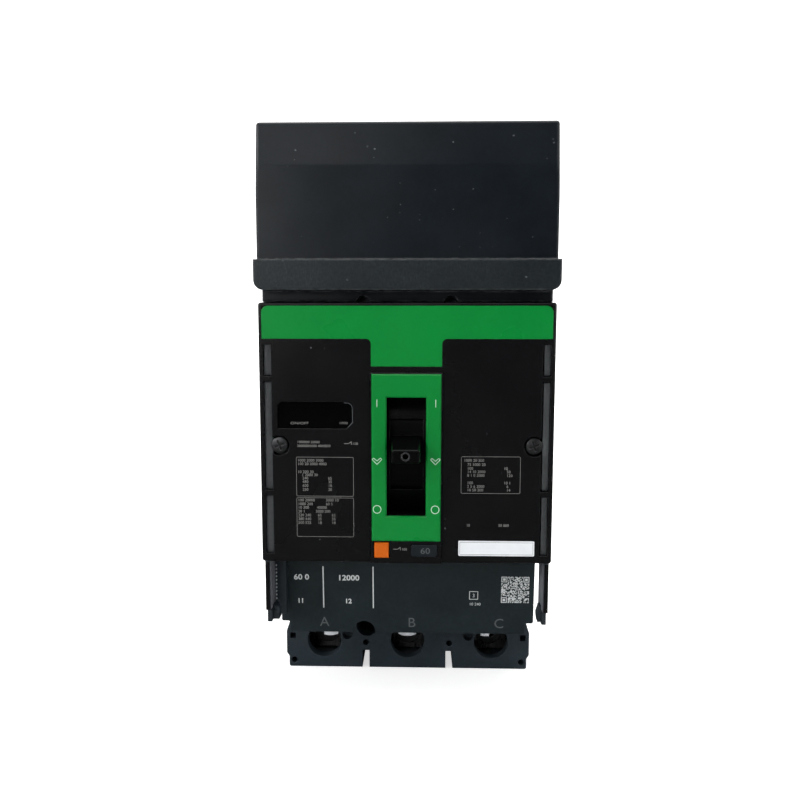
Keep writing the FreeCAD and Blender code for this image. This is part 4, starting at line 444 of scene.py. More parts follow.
@dataclass(frozen=True)
class Plastic:
    """A moulded plastic finish."""

    name: str
    colour: Colour
    roughness: float = 0.45
    gloss_drift: float = 0.08
    specular: float = 0.4
    grain_height: float = 0.000012
    grain_scale: float = 2600.0
    edge_radius: float = 0.00035
    edge_wear_and_highlight_colour: Colour = (0.06, 0.065, 0.07)
    edge_wear_and_highlight: float = 0.35
    dust: float = 0.0
    dust_scale: float = 260.0
    dust_size: float = 0.16
    dust_colour: Colour = (0.2, 0.21, 0.21)
    tone: float = 0.18
    scuffed: tuple[float, float] | None = None
    scuff_colour: Colour = (0.04, 0.044, 0.046)

    def material(self, shelf: EffectShelf) -> bpy.types.Material:
        """Builds the material.

        Args:
            shelf: the shared effects.

        Returns:
            The material.
        """
        made, graph, shader = new_material(self.name)
        edges = shelf.place(graph, Effect.EDGES, Radius=self.edge_radius, Amount=self.edge_wear_and_highlight)
        grain = shelf.place(graph, Effect.GRAIN, Scale=self.grain_scale)
        smudge = shelf.place(graph, Effect.SMUDGE, Scale=38.0)
        dark = tuple(part * (1 - self.tone) for part in self.colour)
        light = tuple(part * (1 + self.tone) for part in self.colour)
        base = graph.blend(graph.span(grain["Tone"], 0.35, 0.65), dark, light)
        # edge colour on the edge mask: worn edges on most finishes; on the housing and the handle
        # it is a painted highlight along the edges
        base = graph.blend(edges["Mask"], base, self.edge_wear_and_highlight_colour)
        low, high = self.roughness - self.gloss_drift, self.roughness + self.gloss_drift
        rough = graph.span(smudge["Mask"], 0.0, 1.0, low, high)
        if self.scuffed:
            scuff = shelf.place(graph, Effect.SCUFF, Low=self.scuffed[0] * MM,
                                High=self.scuffed[1] * MM)
            base = graph.blend(scuff["Mask"], base, self.scuff_colour)
            rough = graph.calc("ADD", rough, graph.times(scuff["Mask"], 0.15))
        if self.dust:
            dust = shelf.place(graph, Effect.DUST, Density=self.dust, Scale=self.dust_scale,
                               Size=self.dust_size)
            base = graph.blend(dust["Mask"], base, self.dust_colour)
        graph.feed(shader.inputs["Base Color"], base)
        graph.feed(shader.inputs["Roughness"], rough)
        shader.inputs["Specular IOR Level"].default_value = self.specular
        add_bump(graph, shader, grain["Height"], self.grain_height, edges)
        return made


@dataclass(frozen=True)
class Metal:
    """A bare or plated metal finish."""

    name: str
    colour: Colour
    roughness: float = 0.32
    line_height: float = 0.000008
    line_scale: float = 900.0
    stretch: float = 14.0
    edge_radius: float = 0.00025
    edge_wear_and_highlight_colour: Colour = (0.8, 0.8, 0.8)
    edge_wear_and_highlight: float = 0.4
    tarnish_and_shade_colour: Colour = (0.22, 0.2, 0.18)
    tarnish: float = 0.35

    def material(self, shelf: EffectShelf) -> bpy.types.Material:
        """Builds the material.

        Args:
            shelf: the shared effects.

        Returns:
            The material.
        """
        made, graph, shader = new_material(self.name)
        edges = shelf.place(graph, Effect.EDGES, Radius=self.edge_radius, Amount=self.edge_wear_and_highlight)
        lines = shelf.place(graph, Effect.BRUSH, Scale=self.line_scale, Stretch=self.stretch)
        patches = shelf.place(graph, Effect.TARNISH, Amount=self.tarnish)
        dark = tuple(part * 0.8 for part in self.colour)
        light = tuple(min(1.0, part * 1.1) for part in self.colour)
        base = graph.blend(lines["Tone"], dark, light)
        # dark patches: oxide and heat colour on most metals; on the aluminium they are also painted
        # shade
        base = graph.blend(patches["Mask"], base, self.tarnish_and_shade_colour)
        base = graph.blend(edges["Mask"], base, self.edge_wear_and_highlight_colour)
        graph.feed(shader.inputs["Base Color"], base)
        shader.inputs["Metallic"].default_value = 1.0
        rough = graph.span(lines["Tone"], 0.0, 1.0, self.roughness * 0.8,
                           self.roughness * 1.25)
        graph.feed(shader.inputs["Roughness"], graph.calc(
            "ADD", rough, graph.times(patches["Mask"], 0.35), clamp=True))
        add_bump(graph, shader, lines["Height"], self.line_height, edges)
        return made


@dataclass(frozen=True)
class Ink:
    """A printed mark: a thin, slightly uneven film."""

    name: str
    colour: Colour
    roughness: float = 0.5
    patchiness: float = 0.25

    def material(self, shelf: EffectShelf) -> bpy.types.Material:
        """Builds the material.

        Args:
            shelf: the shared effects.

        Returns:
            The material.
        """
        made, graph, shader = new_material(self.name)
        grain = shelf.place(graph, Effect.GRAIN, Scale=5200.0, Flow=300.0)
        smudge = shelf.place(graph, Effect.SMUDGE, Scale=420.0)
        edges = shelf.place(graph, Effect.EDGES, Radius=0.00005, Amount=0.0)
        thin = tuple(part * (1 - self.patchiness) for part in self.colour)
        factor = graph.times(graph.calc("ADD", grain["Tone"], smudge["Mask"]), 0.5)
        graph.feed(shader.inputs["Base Color"], graph.blend(factor, self.colour, thin))
        graph.feed(shader.inputs["Roughness"], graph.span(
            smudge["Mask"], 0.0, 1.0, self.roughness - 0.06, self.roughness + 0.1))
        shader.inputs["Specular IOR Level"].default_value = 0.3
        add_bump(graph, shader, grain["Height"], 0.000004, edges)
        return made


def new_material(name: str) -> tuple[bpy.types.Material, Graph, bpy.types.Node]:
    """Makes an empty material with one Principled shader.

    Args:
        name: the material's name.

    Returns:
        The material, its graph and its shader.
    """
    made = bpy.data.materials.new(name)
    made.use_nodes = True
    made.node_tree.nodes.clear()
    graph = Graph(made.node_tree)
    shader = graph.node("ShaderNodeBsdfPrincipled")
    graph.feed(graph.node("ShaderNodeOutputMaterial").inputs["Surface"], shader.outputs[0])
    return made, graph, shader


def add_bump(graph: Graph, shader: bpy.types.Node, height: Socket, depth: float,
             edges: Sockets) -> None:
    """Feeds a relief and the rounded edges into a shader.

    Args:
        graph: the material's graph.
        shader: its Principled shader.
        height: the relief.
        depth: how deep it is, in metres.
        edges: the worn-edge effect, which gives the rounded normals.
    """
    bump = graph.node("ShaderNodeBump")
    bump.inputs["Strength"].default_value = 1.0
    bump.inputs["Distance"].default_value = depth
    graph.feed(bump.inputs["Height"], height)
    graph.feed(bump.inputs["Normal"], edges["Normal"])
    graph.feed(shader.inputs["Normal"], bump.outputs[0])


class FinishBook:
    """Every finish of the breaker, by the record's material slot or by a piece's own name."""

    FINISHES: tuple[Plastic | Metal | Ink, ...] = (
        Plastic("cover_black", (0.0042, 0.0042, 0.0048), 0.26, 0.04, 0.32, 0.000003,
                dust=0.12, dust_scale=420.0, dust_size=0.13, dust_colour=(0.07, 0.075, 0.08),
                edge_wear_and_highlight=0.6, edge_wear_and_highlight_colour=(0.045, 0.047, 0.053)),
        # housing: its pale edge colour is a painted highlight along the lip's and top's edges
        Plastic("housing_slate", (0.0064, 0.0092, 0.0125), 0.31, 0.03, 0.32, 0.000006,
                edge_radius=0.0014, dust=0.5, dust_scale=440.0, dust_size=0.19,
                dust_colour=(0.1, 0.11, 0.115), edge_wear_and_highlight=0.75, edge_wear_and_highlight_colour=(0.11, 0.12, 0.125),
                scuffed=(74.35, 85.15), scuff_colour=(0.03, 0.038, 0.04)),
        Plastic("case_slate", (0.0195, 0.0275, 0.035), 0.42, 0.05, 0.36, 0.000008,
                dust=0.06, dust_scale=420.0, dust_size=0.13),
        # case slate painted about 1.3 times lighter for the lug cover: painted light against the
        # shade under the trip unit's overhang
        Plastic("lug_slate_painted_light", (0.0245, 0.0365, 0.0465), 0.42, 0.05, 0.36, 0.000008,
                dust=0.06, dust_scale=420.0, dust_size=0.13),
        Plastic("trip_slate", (0.013, 0.0225, 0.0265), 0.5, 0.05, 0.3, 0.000009,
                dust=0.05, dust_scale=420.0, dust_size=0.12),
        Plastic("green", (0.0018, 0.218, 0.034), 0.3, 0.04, 0.2, 0.000004, tone=0.05,
                edge_wear_and_highlight_colour=(0.05, 0.4, 0.12), edge_wear_and_highlight=0.4),
        Plastic("orange", (0.58, 0.108, 0.002), 0.36, 0.05, 0.2, 0.000006, tone=0.06,
                edge_wear_and_highlight_colour=(0.9, 0.35, 0.08), edge_wear_and_highlight=0.4),
        Plastic("plate_grey", (0.0095, 0.0145, 0.0185), 0.4, 0.05, 0.3, 0.000005),
        # handle: its pale edge colour is a painted highlight along the handle's edges
        Plastic("handle_black", (0.0014, 0.0015, 0.0018), 0.3, 0.05, 0.15, 0.000008,
                edge_wear_and_highlight_colour=(0.05, 0.053, 0.06), edge_wear_and_highlight=0.8),
        Plastic("lens_black", (0.0008, 0.0008, 0.001), 0.12, 0.03, 0.16, 0.000001,
                tone=0.1, edge_wear_and_highlight=0.2),
        Plastic("moulded_brown", (0.11, 0.06, 0.035), 0.5, edge_wear_and_highlight_colour=(0.22, 0.14, 0.09)),
        Plastic("moulded_cream", (0.6, 0.54, 0.42), 0.5, tone=0.07,
                edge_wear_and_highlight_colour=(0.75, 0.7, 0.6), edge_wear_and_highlight=0.2),
        Metal("steel", (0.52, 0.52, 0.53)),
        Metal("spring_steel", (0.4, 0.4, 0.42), 0.28, edge_wear_and_highlight=0.2),
        Metal("copper", (0.78, 0.36, 0.2), 0.3, edge_wear_and_highlight_colour=(0.95, 0.6, 0.42),
              tarnish_and_shade_colour=(0.25, 0.1, 0.06), tarnish=0.4),
        Metal("silvered", (0.78, 0.77, 0.74), 0.26, tarnish_and_shade_colour=(0.4, 0.36, 0.3), tarnish=0.3),
        # aluminium: dark base and heavy dark patches, painted shade on the lug faces inside the lug
        # holes
        Metal("aluminium", (0.45, 0.455, 0.46), 0.28, stretch=5.0, tarnish=0.4,
              tarnish_and_shade_colour=(0.2, 0.2, 0.205)),
        Metal("black_steel", (0.12, 0.123, 0.127), 0.38, stretch=3.0, edge_wear_and_highlight=0.9,
              edge_wear_and_highlight_colour=(0.42, 0.42, 0.43), tarnish_and_shade_colour=(0.05, 0.05, 0.05)),
        Ink("white_ink", (0.74, 0.78, 0.78)),
        Ink("pale_green_ink", (0.72, 0.95, 0.78), patchiness=0.08),
        # pale finish of the painted highlight ring round the handle's hole
        Plastic("ring_highlight_grey", (0.03, 0.031, 0.034), 0.45, 0.06, 0.4, 0.000008, edge_wear_and_highlight=0.5),
        Ink("grey_ink", (0.27, 0.27, 0.255), patchiness=0.35),
        Ink("dim_ink", (0.12, 0.135, 0.14), patchiness=0.3),
        Plastic("tooth_white", (0.6, 0.62, 0.63), 0.4, tone=0.06, edge_wear_and_highlight=0.1),
        # pale finish of the painted glints in the lug holes
        Plastic("glint_white", (0.82, 0.85, 0.88), 0.45, tone=0.05, edge_wear_and_highlight=0.1),
        Ink("plate_vinyl", (0.84, 0.87, 0.9), 0.35, 0.06),
        # case slate painted lighter for the side strips: painted light
        Plastic("strip_slate_painted_light", (0.09, 0.098, 0.102), 0.45, 0.06, 0.4, 0.000008),
        # case slate painted much lighter: painted light on the wings' inner faces
        Plastic("wing_painted_light_grey", (0.13, 0.134, 0.15), 0.36, 0.05, 0.4, 0.000006),
    )

    # the lug cover takes the lighter copy of case slate, which is painted light
    OWN_FINISH: dict[str, str] = {"lug_cover": "lug_slate_painted_light"}

    def __init__(self) -> None:
        """Builds every finish."""
        self.shelf = EffectShelf()
        self.made = {finish.name: finish.material(self.shelf) for finish in self.FINISHES}

    def dress(self, piece: bpy.types.Object, finish: str) -> None:
        """Puts one finish on every slot of a piece.

        Args:
            piece: the object.
            finish: the finish's name.
        """
        slots = piece.data.materials
        if len(slots) == 0:
            slots.append(self.made[finish])
        for index in range(len(slots)):
            slots[index] = self.made[finish]

    def dress_cad(self) -> None:
        """Gives each CAD node the finish of its slot in the record."""
        for row in frame["record"]["subparts"]:
            node = frame["nodes"][row["node"]]
            finish = self.OWN_FINISH.get(row["node"], row["material_slot"])
            self.dress(node, finish)
            LOG.info("cad node %s: %s", row["node"], finish)


# ---- making meshes -----------------------------------------------------------


@dataclass(frozen=True)
class Face:
    """A flat place on the breaker: an origin and two directions that lie in it."""

    origin: Vector
    across: Vector
    upward: Vector

    def point(self, u: float, v: float, lift: float = 0.0) -> Vector:
        """Gives a point of the face.

        Args:
            u: millimetres along it, to the right.
            v: millimetres along it, upwards.
            lift: millimetres out of it.

        Returns:
            The point, in metres.
        """
        out = self.across.cross(self.upward)
        return self.origin + (self.across * u + self.upward * v + out * lift) * MM


def facing(depth: float) -> Face:
    """Gives the plane so many millimetres before the mounting face, with X and Z as u and v."""
    return Face(Vector((0.0, -depth * MM, 0.0)), RIGHT, UP)


def front_of(node: str) -> Face:
    """Gives the plane of a CAD node's front, with X and Z as u and v."""
    return Face(Vector((0.0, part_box(node)[0].y, 0.0)), RIGHT, UP)


def rounded(left: float, low: float, right: float, high: float, radius: float,
            steps: int = 5) -> list[tuple[float, float]]:
    """Draws a rectangle with rounded corners, anticlockwise.

    Args:
        left: its lowest u.
        low: its lowest v.
        right: its highest u.
        high: its highest v.
        radius: its corners' radius.
        steps: how many edges a corner has.

    Returns:
        Its points.
    """
    corners = ((right - radius, low + radius, -90), (right - radius, high - radius, 0),
               (left + radius, high - radius, 90), (left + radius, low + radius, 180))
    points = []
    for u, v, start in corners:
        for step in range(steps + 1):
            angle = math.radians(start + 90 * step / steps)
            points.append((u + radius * math.cos(angle), v + radius * math.sin(angle)))
    return points


def circle(u: float, v: float, radius: float, steps: int = 32) -> list[tuple[float, float]]:
    """Draws a circle.

    Args:
        u: its centre.
        v: its centre.
        radius: its radius.
        steps: its edges.

    Returns:
        Its points.
    """
    return [(u + radius * math.cos(2 * math.pi * step / steps),
             v + radius * math.sin(2 * math.pi * step / steps)) for step in range(steps)]


class Align(Enum):
    """Where a printed text stands at its point."""

    MIDDLE = "CENTER"
    LEFT = "LEFT"


class Draft:
    """Collects the geometry of one piece and turns it into an object."""

    CROWN_STEP = 0.3
    FONT_SIZE = 1.36
    FONT_STEPS = 3
    START_SIDE = Vector((0.37, 0.61, 0.7))

    def __init__(self, name: str) -> None:
        """Starts an empty piece.

        Args:
            name: the piece's name.
        """
        self.name = name
        self.mesh = bmesh.new()

    def slab(self, face: Face, outline: Outline, low: float, high: float,
             crown: float = 0.0) -> None:
        """Adds a flat slab with an optional softened rim.

        Args:
            face: where it lies.
            outline: its edge.
            low: where it starts, in millimetres out of the face.
            high: where it ends.
            crown: how far its rim is rounded.
        """
        centre = (sum(u for u, _ in outline) / len(outline),
                  sum(v for _, v in outline) / len(outline))
        rings = [(low, 0.0), (high - crown, 0.0)]
        if crown:
            rings += [(high - crown * self.CROWN_STEP, crown * self.CROWN_STEP), (high, crown)]
        loops = []
        for lift, inset in rings:
            loop = []
            for u, v in outline:
                away = math.hypot(u - centre[0], v - centre[1]) or 1.0
                share = 1 - inset / away
                point = face.point(centre[0] + (u - centre[0]) * share,
                                   centre[1] + (v - centre[1]) * share, lift)
                loop.append(self.mesh.verts.new(point))
            loops.append(loop)
        self._skin(loops)
        self.mesh.faces.new(loops[-1])
        self.mesh.faces.new(loops[0][::-1])

    def _skin(self, loops: Sequence[Sequence[bmesh.types.BMVert]]) -> None:
        """Joins loops of equal length with faces.

        Args:
            loops: the loops in order.
        """
        for first, second in zip(loops, loops[1:]):
            count = len(first)
            for index in range(count):
                after = (index + 1) % count
                self.mesh.faces.new((first[index], first[after], second[after], second[index]))

    def band(self, face: Face, outer: Outline, inner: Outline, low: float, high: float) -> None:
        """Adds a closed flat band between two outlines of equal length.

        Args:
            face: where it lies.
            outer: its outer edge.
            inner: its inner edge.
            low: where it starts, in millimetres out of the face.
            high: where it ends.
        """
        loops = [[self.mesh.verts.new(face.point(u, v, lift)) for u, v in outline]
                 for outline, lift in ((outer, low), (outer, high), (inner, high), (inner, low))]
        self._skin(loops + [loops[0]])

    def frame_line(self, face: Face, box: Box, radius: float, width: float,
                   lift: float = 0.03) -> None:
        """Adds a thin printed frame.

        Args:
            face: where it lies.
            box: left, low, right and high.
            radius: its corners.
            width: its line.
            lift: its thickness.
        """
        left, low, right, high = box
        self.band(face, rounded(left, low, right, high, radius),
                  rounded(left + width, low + width, right - width, high - width,
                          max(radius - width, 0.05)), 0.0, lift)

    def stroke(self, face: Face, points: Outline, width: float, lift: float = 0.03) -> None:
        """Adds a printed line through some points.

        Args:
            face: where it lies.
            points: its corners.
            width: its width.
            lift: its thickness.
        """
        for (u0, v0), (u1, v1) in zip(points, points[1:]):
            length = math.hypot(u1 - u0, v1 - v0)
            du, dv = (u1 - u0) / length * width / 2, (v1 - v0) / length * width / 2
            self.slab(face, [(u0 - du + dv, v0 - dv - du), (u1 + du + dv, v1 + dv - du),
                             (u1 + du - dv, v1 + dv + du), (u0 - du - dv, v0 - dv + du)],
                      0.0, lift)

    def digits(self, face: Face, text: str, u: float, v: float, height: float,
               lift: float = 0.03, stretch: float = 1.0, align: Align = Align.MIDDLE,
               weight: float = 0.0) -> None:
        """Adds plain characters at a point.

        Args:
            face: where they lie.
            text: the characters.
            u: their middle, or their left end.
            v: their middle.
            height: their height.
            lift: their thickness.
            stretch: their width, as a share of the usual one.
            align: which part of them stands at u.
            weight: how much bolder than usual they are, in millimetres.
        """
        curve = bpy.data.curves.new("draft_text", "FONT")
        curve.body, curve.size = text, height * self.FONT_SIZE
        curve.resolution_u = self.FONT_STEPS
        curve.align_x, curve.offset = align.value, weight
        holder = bpy.data.objects.new("draft_text", curve)
        bpy.context.scene.collection.objects.link(holder)
        bpy.context.view_layer.update()
        flat = holder.to_mesh()
        points = [vertex.co.copy() for vertex in flat.vertices]
        middle = (min(p.y for p in points) + max(p.y for p in points)) / 2
        top = [self.mesh.verts.new(face.point(u + p.x * stretch, v + p.y - middle, lift))
               for p in points]
        for polygon in flat.polygons:
            self.mesh.faces.new([top[index] for index in polygon.vertices])
        holder.to_mesh_clear()
        bpy.data.objects.remove(holder)
        bpy.data.curves.remove(curve)

    def tube(self, points: Sequence[Vector], radius: float, sides: int = 10) -> None:
        """Adds a round bar along some points, in metres.

        Args:
            points: its centre line.
            radius: its radius.
            sides: its facets round.
        """
        loops = []
        up = self.START_SIDE.normalized()
        for index, point in enumerate(points):
            before, after = points[max(index - 1, 0)], points[min(index + 1, len(points) - 1)]
            along = (after - before).normalized()
            side = along.cross(up).normalized()
            up = side.cross(along).normalized()
            loops.append([self.mesh.verts.new(
                point + side * radius * math.cos(2 * math.pi * turn / sides)
                + up * radius * math.sin(2 * math.pi * turn / sides)) for turn in range(sides)])
        self._skin(loops)
        self.mesh.faces.new(loops[0][::-1])
        self.mesh.faces.new(loops[-1])

    def lathe(self, centre: Vector, axis: Vector, profile: Iterable[tuple[float, float]],
              sides: int = 48) -> None:
        """Adds a turned body.

        Args:
            centre: the origin of its profile, in metres.
            axis: the direction that its heights are counted along.
            profile: pairs of radius and height, in millimetres.
            sides: its facets round.
        """
        turn = axis.to_track_quat("Z", "Y").to_matrix()
        loops = []
        for radius, height in profile:
            loops.append([self.mesh.verts.new(centre + turn @ Vector((
                radius * math.cos(2 * math.pi * step / sides),
                radius * math.sin(2 * math.pi * step / sides), height)) * MM)
                for step in range(sides)])
        self._skin(loops)
        self.mesh.faces.new(loops[0][::-1])
        self.mesh.faces.new(loops[-1])

    def finish(self, body: str, smooth: float | None = None) -> bpy.types.Object:
        """Closes the piece and lets it ride on a body.

        Args:
            body: the CAD body that carries it.
            smooth: the angle in degrees below which edges are shaded smooth, or None.

        Returns:
            The new object.
        """
        bmesh.ops.recalc_face_normals(self.mesh, faces=self.mesh.faces)
        data = bpy.data.meshes.new(self.name)
        self.mesh.to_mesh(data)
        self.mesh.free()
        made = bpy.data.objects.new(self.name, data)
        bpy.context.scene.collection.objects.link(made)
        if smooth is not None:
            data.polygons.foreach_set("use_smooth", [True] * len(data.polygons))
            data.set_sharp_from_angle(angle=math.radians(smooth))
        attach(made, body)
        LOG.info("piece %s: %d faces on %s", self.name, len(data.polygons), body)
        return made


def carve(body: bpy.types.Object, cutter: bpy.types.Object) -> None:
    """Cuts one mesh out of another and removes the cutter.

    Args:
        body: what is cut.
        cutter: what is taken away.
    """
    step = body.modifiers.new("carve", "BOOLEAN")
    step.operation, step.object, step.solver = "DIFFERENCE", cutter, "EXACT"
    step.use_self = True
    bpy.context.view_layer.update()
    cut = bpy.data.meshes.new_from_object(body.evaluated_get(bpy.context.evaluated_depsgraph_get()))
    body.modifiers.clear()
    body.data = cut
    bpy.data.objects.remove(cutter)


# ---- sub-assemblies ----------------------------------------------------------


@dataclass(frozen=True)
class Fitting:
    """A sub-assembly: it holds its sizes, and takes its finishes from one book."""

    book: FinishBook

    def settle(self, draft: Draft, finish: str, smooth: float | None = None,
               slot: str | None = None, body: str = "frame") -> None:
        """Closes a piece, lets it ride on a body and dresses it.

        Args:
            draft: the piece.
            finish: its finish.
            smooth: the angle in degrees below which its edges are shaded smooth, or None.
            slot: its material slot, or None for a piece that is only printed or coated; not used.
            body: the CAD body that carries it.
        """
        piece = draft.finish(body, smooth)
        self.book.dress(piece, finish)


@dataclass(frozen=True)
class NumberTable:
    """A printed frame with rows of plain numbers.

    Each row is its drop below the frame's top, then pairs of a place and some digits.
    """

    name: str
    box: Box
    rows: tuple[tuple[float, tuple[tuple[float, str], ...]], ...]
    corner: float = 0.5
    line: float = 0.13
    digit: float = 1.05

    def draw(self, face: Face) -> Draft:
        """Draws the table.

        Args:
            face: where it lies.

        Returns:
            The piece.
        """
        draft = Draft(self.name)
        draft.frame_line(face, self.box, self.corner, self.line)
        left, _, _, high = self.box
        for drop, words in self.rows:
            for shift, text in words:
                draft.digits(face, text, left + shift, high - drop, self.digit, align=Align.LEFT)
        return draft


@dataclass(frozen=True)
class CoverPrint(Fitting):
    """Three number tables, loose numbers and a circuit symbol on the accessory cover."""

    tables: tuple[NumberTable, ...] = (
        NumberTable("upper_left_table", (-39.4, 1.1, -18.8, 15.4), (
            (1.2, ((0.5, "1000 2000 3000"),)), (2.5, ((0.5, "100 20 3000 4000"),)),
            (5.4, ((0.5, "10 200 30"),)), (6.5, ((2.0, "1 2000 30"),)),
            (7.7, ((2.2, "240"), (11.4, "65"))), (9.0, ((2.2, "480"), (11.4, "35"))),
            (10.4, ((2.2, "600"), (11.4, "18"))), (11.8, ((2.2, "250"), (11.4, "20"))))),
        NumberTable("lower_left_table", (-39.4, -13.8, -18.8, 0.6), (
            (0.9, ((0.5, "100 20000"), (10.5, "3000 10"))),
            (2.3, ((0.5, "1000 200"), (10.5, "60 5"))),
            (3.6, ((0.5, "10 300"), (7.3, "40000"))), (5.0, ((0.5, "20 1"), (6.8, "3000 200"))),
            (6.4, ((0.5, "220 240"), (7.6, "65"), (12.6, "65"))),
            (7.8, ((0.5, "380 440"), (7.6, "35"), (12.6, "35"))),
            (9.2, ((0.5, "500 525"), (7.6, "18"), (12.6, "18"))))),
        NumberTable("right_table", (19.5, 2.5, 40.6, 15.9), (
            (1.4, ((1.0, "1000 20 300"),)), (2.9, ((2.2, "75 1000 20"),)),
            (4.3, ((2.2, "100"), (15.2, "10"))), (5.5, ((2.2, "14 10 2000"), (16.2, "50"))),
            (6.8, ((2.2, "8 1 0 2000"), (16.2, "120"))), (9.5, ((2.2, "100"), (15.2, "10 1"))),
            (10.8, ((2.2, "2 5 6 2000"), (16.2, "6"))),
            (12.1, ((2.2, "10 50 200"), (16.2, "14"))))))
    loose: tuple[tuple[str, float, float, float], ...] = (
        ("1000000 20000", -39.0, 20.8, 0.95), ("30000000000 4000000", -39.0, 19.4, 0.95),
        ("10", 21.6, -9.1, 1.0), ("20 000", 33.0, -9.1, 1.0))
    symbol: tuple[float, float] = (-22.0, 20.3)

    def build(self) -> None:
        """Prints the marks."""
        face = front_of("accessory_cover")
        for table in self.tables:
            self.settle(table.draw(face), "grey_ink")
        draft = Draft("cover_marks")
        for text, u, v, height in self.loose:
            draft.digits(face, text, u, v, height, align=Align.LEFT)
        switch_symbol(draft, face, *self.symbol)
        self.settle(draft, "grey_ink")


def switch_symbol(draft: Draft, face: Face, u: float, v: float) -> None:
    """Draws the circuit symbol of a switch: two leads and a lifted blade.

    Args:
        draft: the piece.
        face: where it lies.
        u: its left end.
        v: its line.
    """
    draft.stroke(face, [(u, v), (u + 1.5, v)], 0.22)
    draft.stroke(face, [(u + 1.4, v - 0.02), (u + 2.5, v + 0.7)], 0.22)
    draft.stroke(face, [(u + 2.5, v - 0.28), (u + 2.5, v + 0.28)], 0.2)
    draft.digits(face, "100", u + 2.9, v, 0.95, align=Align.LEFT)


@dataclass(frozen=True)
class CoverFittings(Fitting):
    """The blank plate, the slate strips painted lighter, the recess lens and the recess's painted
    highlight, on the accessory cover.
    """

    plate: Box = (18.8, -20.3, 46.0, -14.8)
    plate_thickness: float = 0.25
    plate_margin: float = 0.45
    strip_edges: tuple[tuple[float, float], ...] = ((-50.65, -47.85), (48.45, 50.65))
    strip_spans: tuple[tuple[float, float], ...] = ((44.5, 56.2), (3.4, 42.1), (-22.0, 1.0))
    strip_rear: float = -3.6
    strip_front: float = -1.4
    recess: Box = (-45.9, 25.6, -18.8, 35.2)
    lens_rear: float = -1.6
    lens_front: float = -1.35
    words: tuple[tuple[str, float, float, float, float], ...] = (
        ("ON/OFF", -38.2, 27.4, 0.95, 1.4), ("1000", -22.5, 27.5, 0.9, 1.3))
    words_lift: float = -1.3
    highlight_lift: float = -0.9

    def build(self) -> None:
        """Builds and dresses the fittings."""
        face = front_of("accessory_cover")
        self._plate(face)
        strips = Draft("side_strips")
        for inner, outer in self.strip_edges:
            for low, high in self.strip_spans:
                strips.slab(face, rounded(inner, low, outer, high, 0.3), self.strip_rear,
                            self.strip_front, 0.3)
        # the strips are case slate painted lighter: painted light on the ribs
        self.settle(strips, "strip_slate_painted_light", 40, "case_slate")
        self._recess(face)

    def _plate(self, face: Face) -> None:
        """Lays the blank plate and its printed edge line on the cover.

        Args:
            face: the cover's front.
        """
        plate = Draft("blank_plate")
        plate.slab(face, rounded(*self.plate, 0.35), 0.0, self.plate_thickness, 0.06)
        self.settle(plate, "plate_vinyl")
        left, low, right, high = self.plate
        margin = self.plate_margin
        rim = Draft("blank_plate_edge")
        rim.frame_line(face, (left + margin, low + margin, right - margin, high - margin), 0.2,
                       0.12, self.plate_thickness + 0.02)
        self.settle(rim, "grey_ink")

    def _recess(self, face: Face) -> None:
        """Lays the dark lens, its marks and a painted highlight along its right edge in the long
        recess.

        Args:
            face: the cover's front.
        """
        left, low, right, high = self.recess
        lens = Draft("recess_lens")
        lens.slab(face, [(left + 0.1, low + 0.1), (right - 2.4, low + 0.1),
                         (right - 0.1, low + 2.4), (right - 0.1, high - 1.3),
                         (right - 1.3, high - 0.1), (left + 1.3, high - 0.1),
                         (left + 0.1, high - 1.3)], self.lens_rear, self.lens_front, 0.1)
        self.settle(lens, "lens_black")
        marks = Draft("recess_marks")
        for text, u, v, height, stretch in self.words:
            marks.digits(face, text, u, v, height, self.words_lift, stretch)
        self.settle(marks, "grey_ink")
        # a pale line along the recess's right edge: a painted highlight where the gloss catches
        # light
        rim = Draft("recess_painted_highlight")
        rim.stroke(face, [(right - 3.2, high - 0.35), (right - 1.6, high - 0.5),
                          (right - 0.6, high - 1.3), (right - 0.35, high - 2.4),
                          (right - 0.35, low + 2.3), (right - 1.9, low + 0.55)],
                   0.16, self.highlight_lift)
        self.settle(rim, "dim_ink")


@dataclass(frozen=True)
class BezelPrint(Fitting):
    """The switch marks on both sides of the handle window."""

    mark_x: float = 10.35
    on_z: float = 34.9
    on_reach: float = 1.25
    trip_z: float = 14.1
    arrow: Outline = ((-1.7, 0.75), (-1.2, 1.3), (0.0, 0.2), (1.2, 1.3), (1.7, 0.75), (0.0, -1.0),
                      (-1.7, 0.75))
    off_z: float = -3.2
    ring: float = 1.5
    line: float = 0.2

    def build(self) -> None:
        """Prints the bar for ON, the hollow arrow for tripped and the ring for OFF."""
        face = front_of("handle_bezel")
        draft = Draft("switch_marks")
        for u in (-self.mark_x, self.mark_x):
            draft.stroke(face, [(u, self.on_z - self.on_reach), (u, self.on_z + self.on_reach)],
                         self.line)
            draft.stroke(face, [(u + du, self.trip_z + dv) for du, dv in self.arrow], self.line)
            draft.band(face, circle(u, self.off_z, self.ring),
                       circle(u, self.off_z, self.ring - self.line), 0.0, 0.03)
        self.settle(draft, "pale_green_ink")


@dataclass(frozen=True)
class EscutcheonPrint(Fitting):
    """The circuit symbol and the plain number under the handle window."""

    symbol: tuple[float, float] = (-4.5, -17.9)
    number: str = "60"
    shift: float = 0.4
    digit: float = 2.3
    stretch: float = 1.15

    def build(self) -> None:
        """Prints both."""
        draft = Draft("escutcheon_symbol")
        switch_symbol(draft, front_of("escutcheon"), *self.symbol)
        self.settle(draft, "grey_ink")
        low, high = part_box("rating_plate")
        number = Draft("rating_number")
        number.digits(front_of("rating_plate"), self.number,
                      (low.x + high.x) / 2 / MM + self.shift, (low.z + high.z) / 2 / MM,
                      self.digit, stretch=self.stretch)
        self.settle(number, "dim_ink")


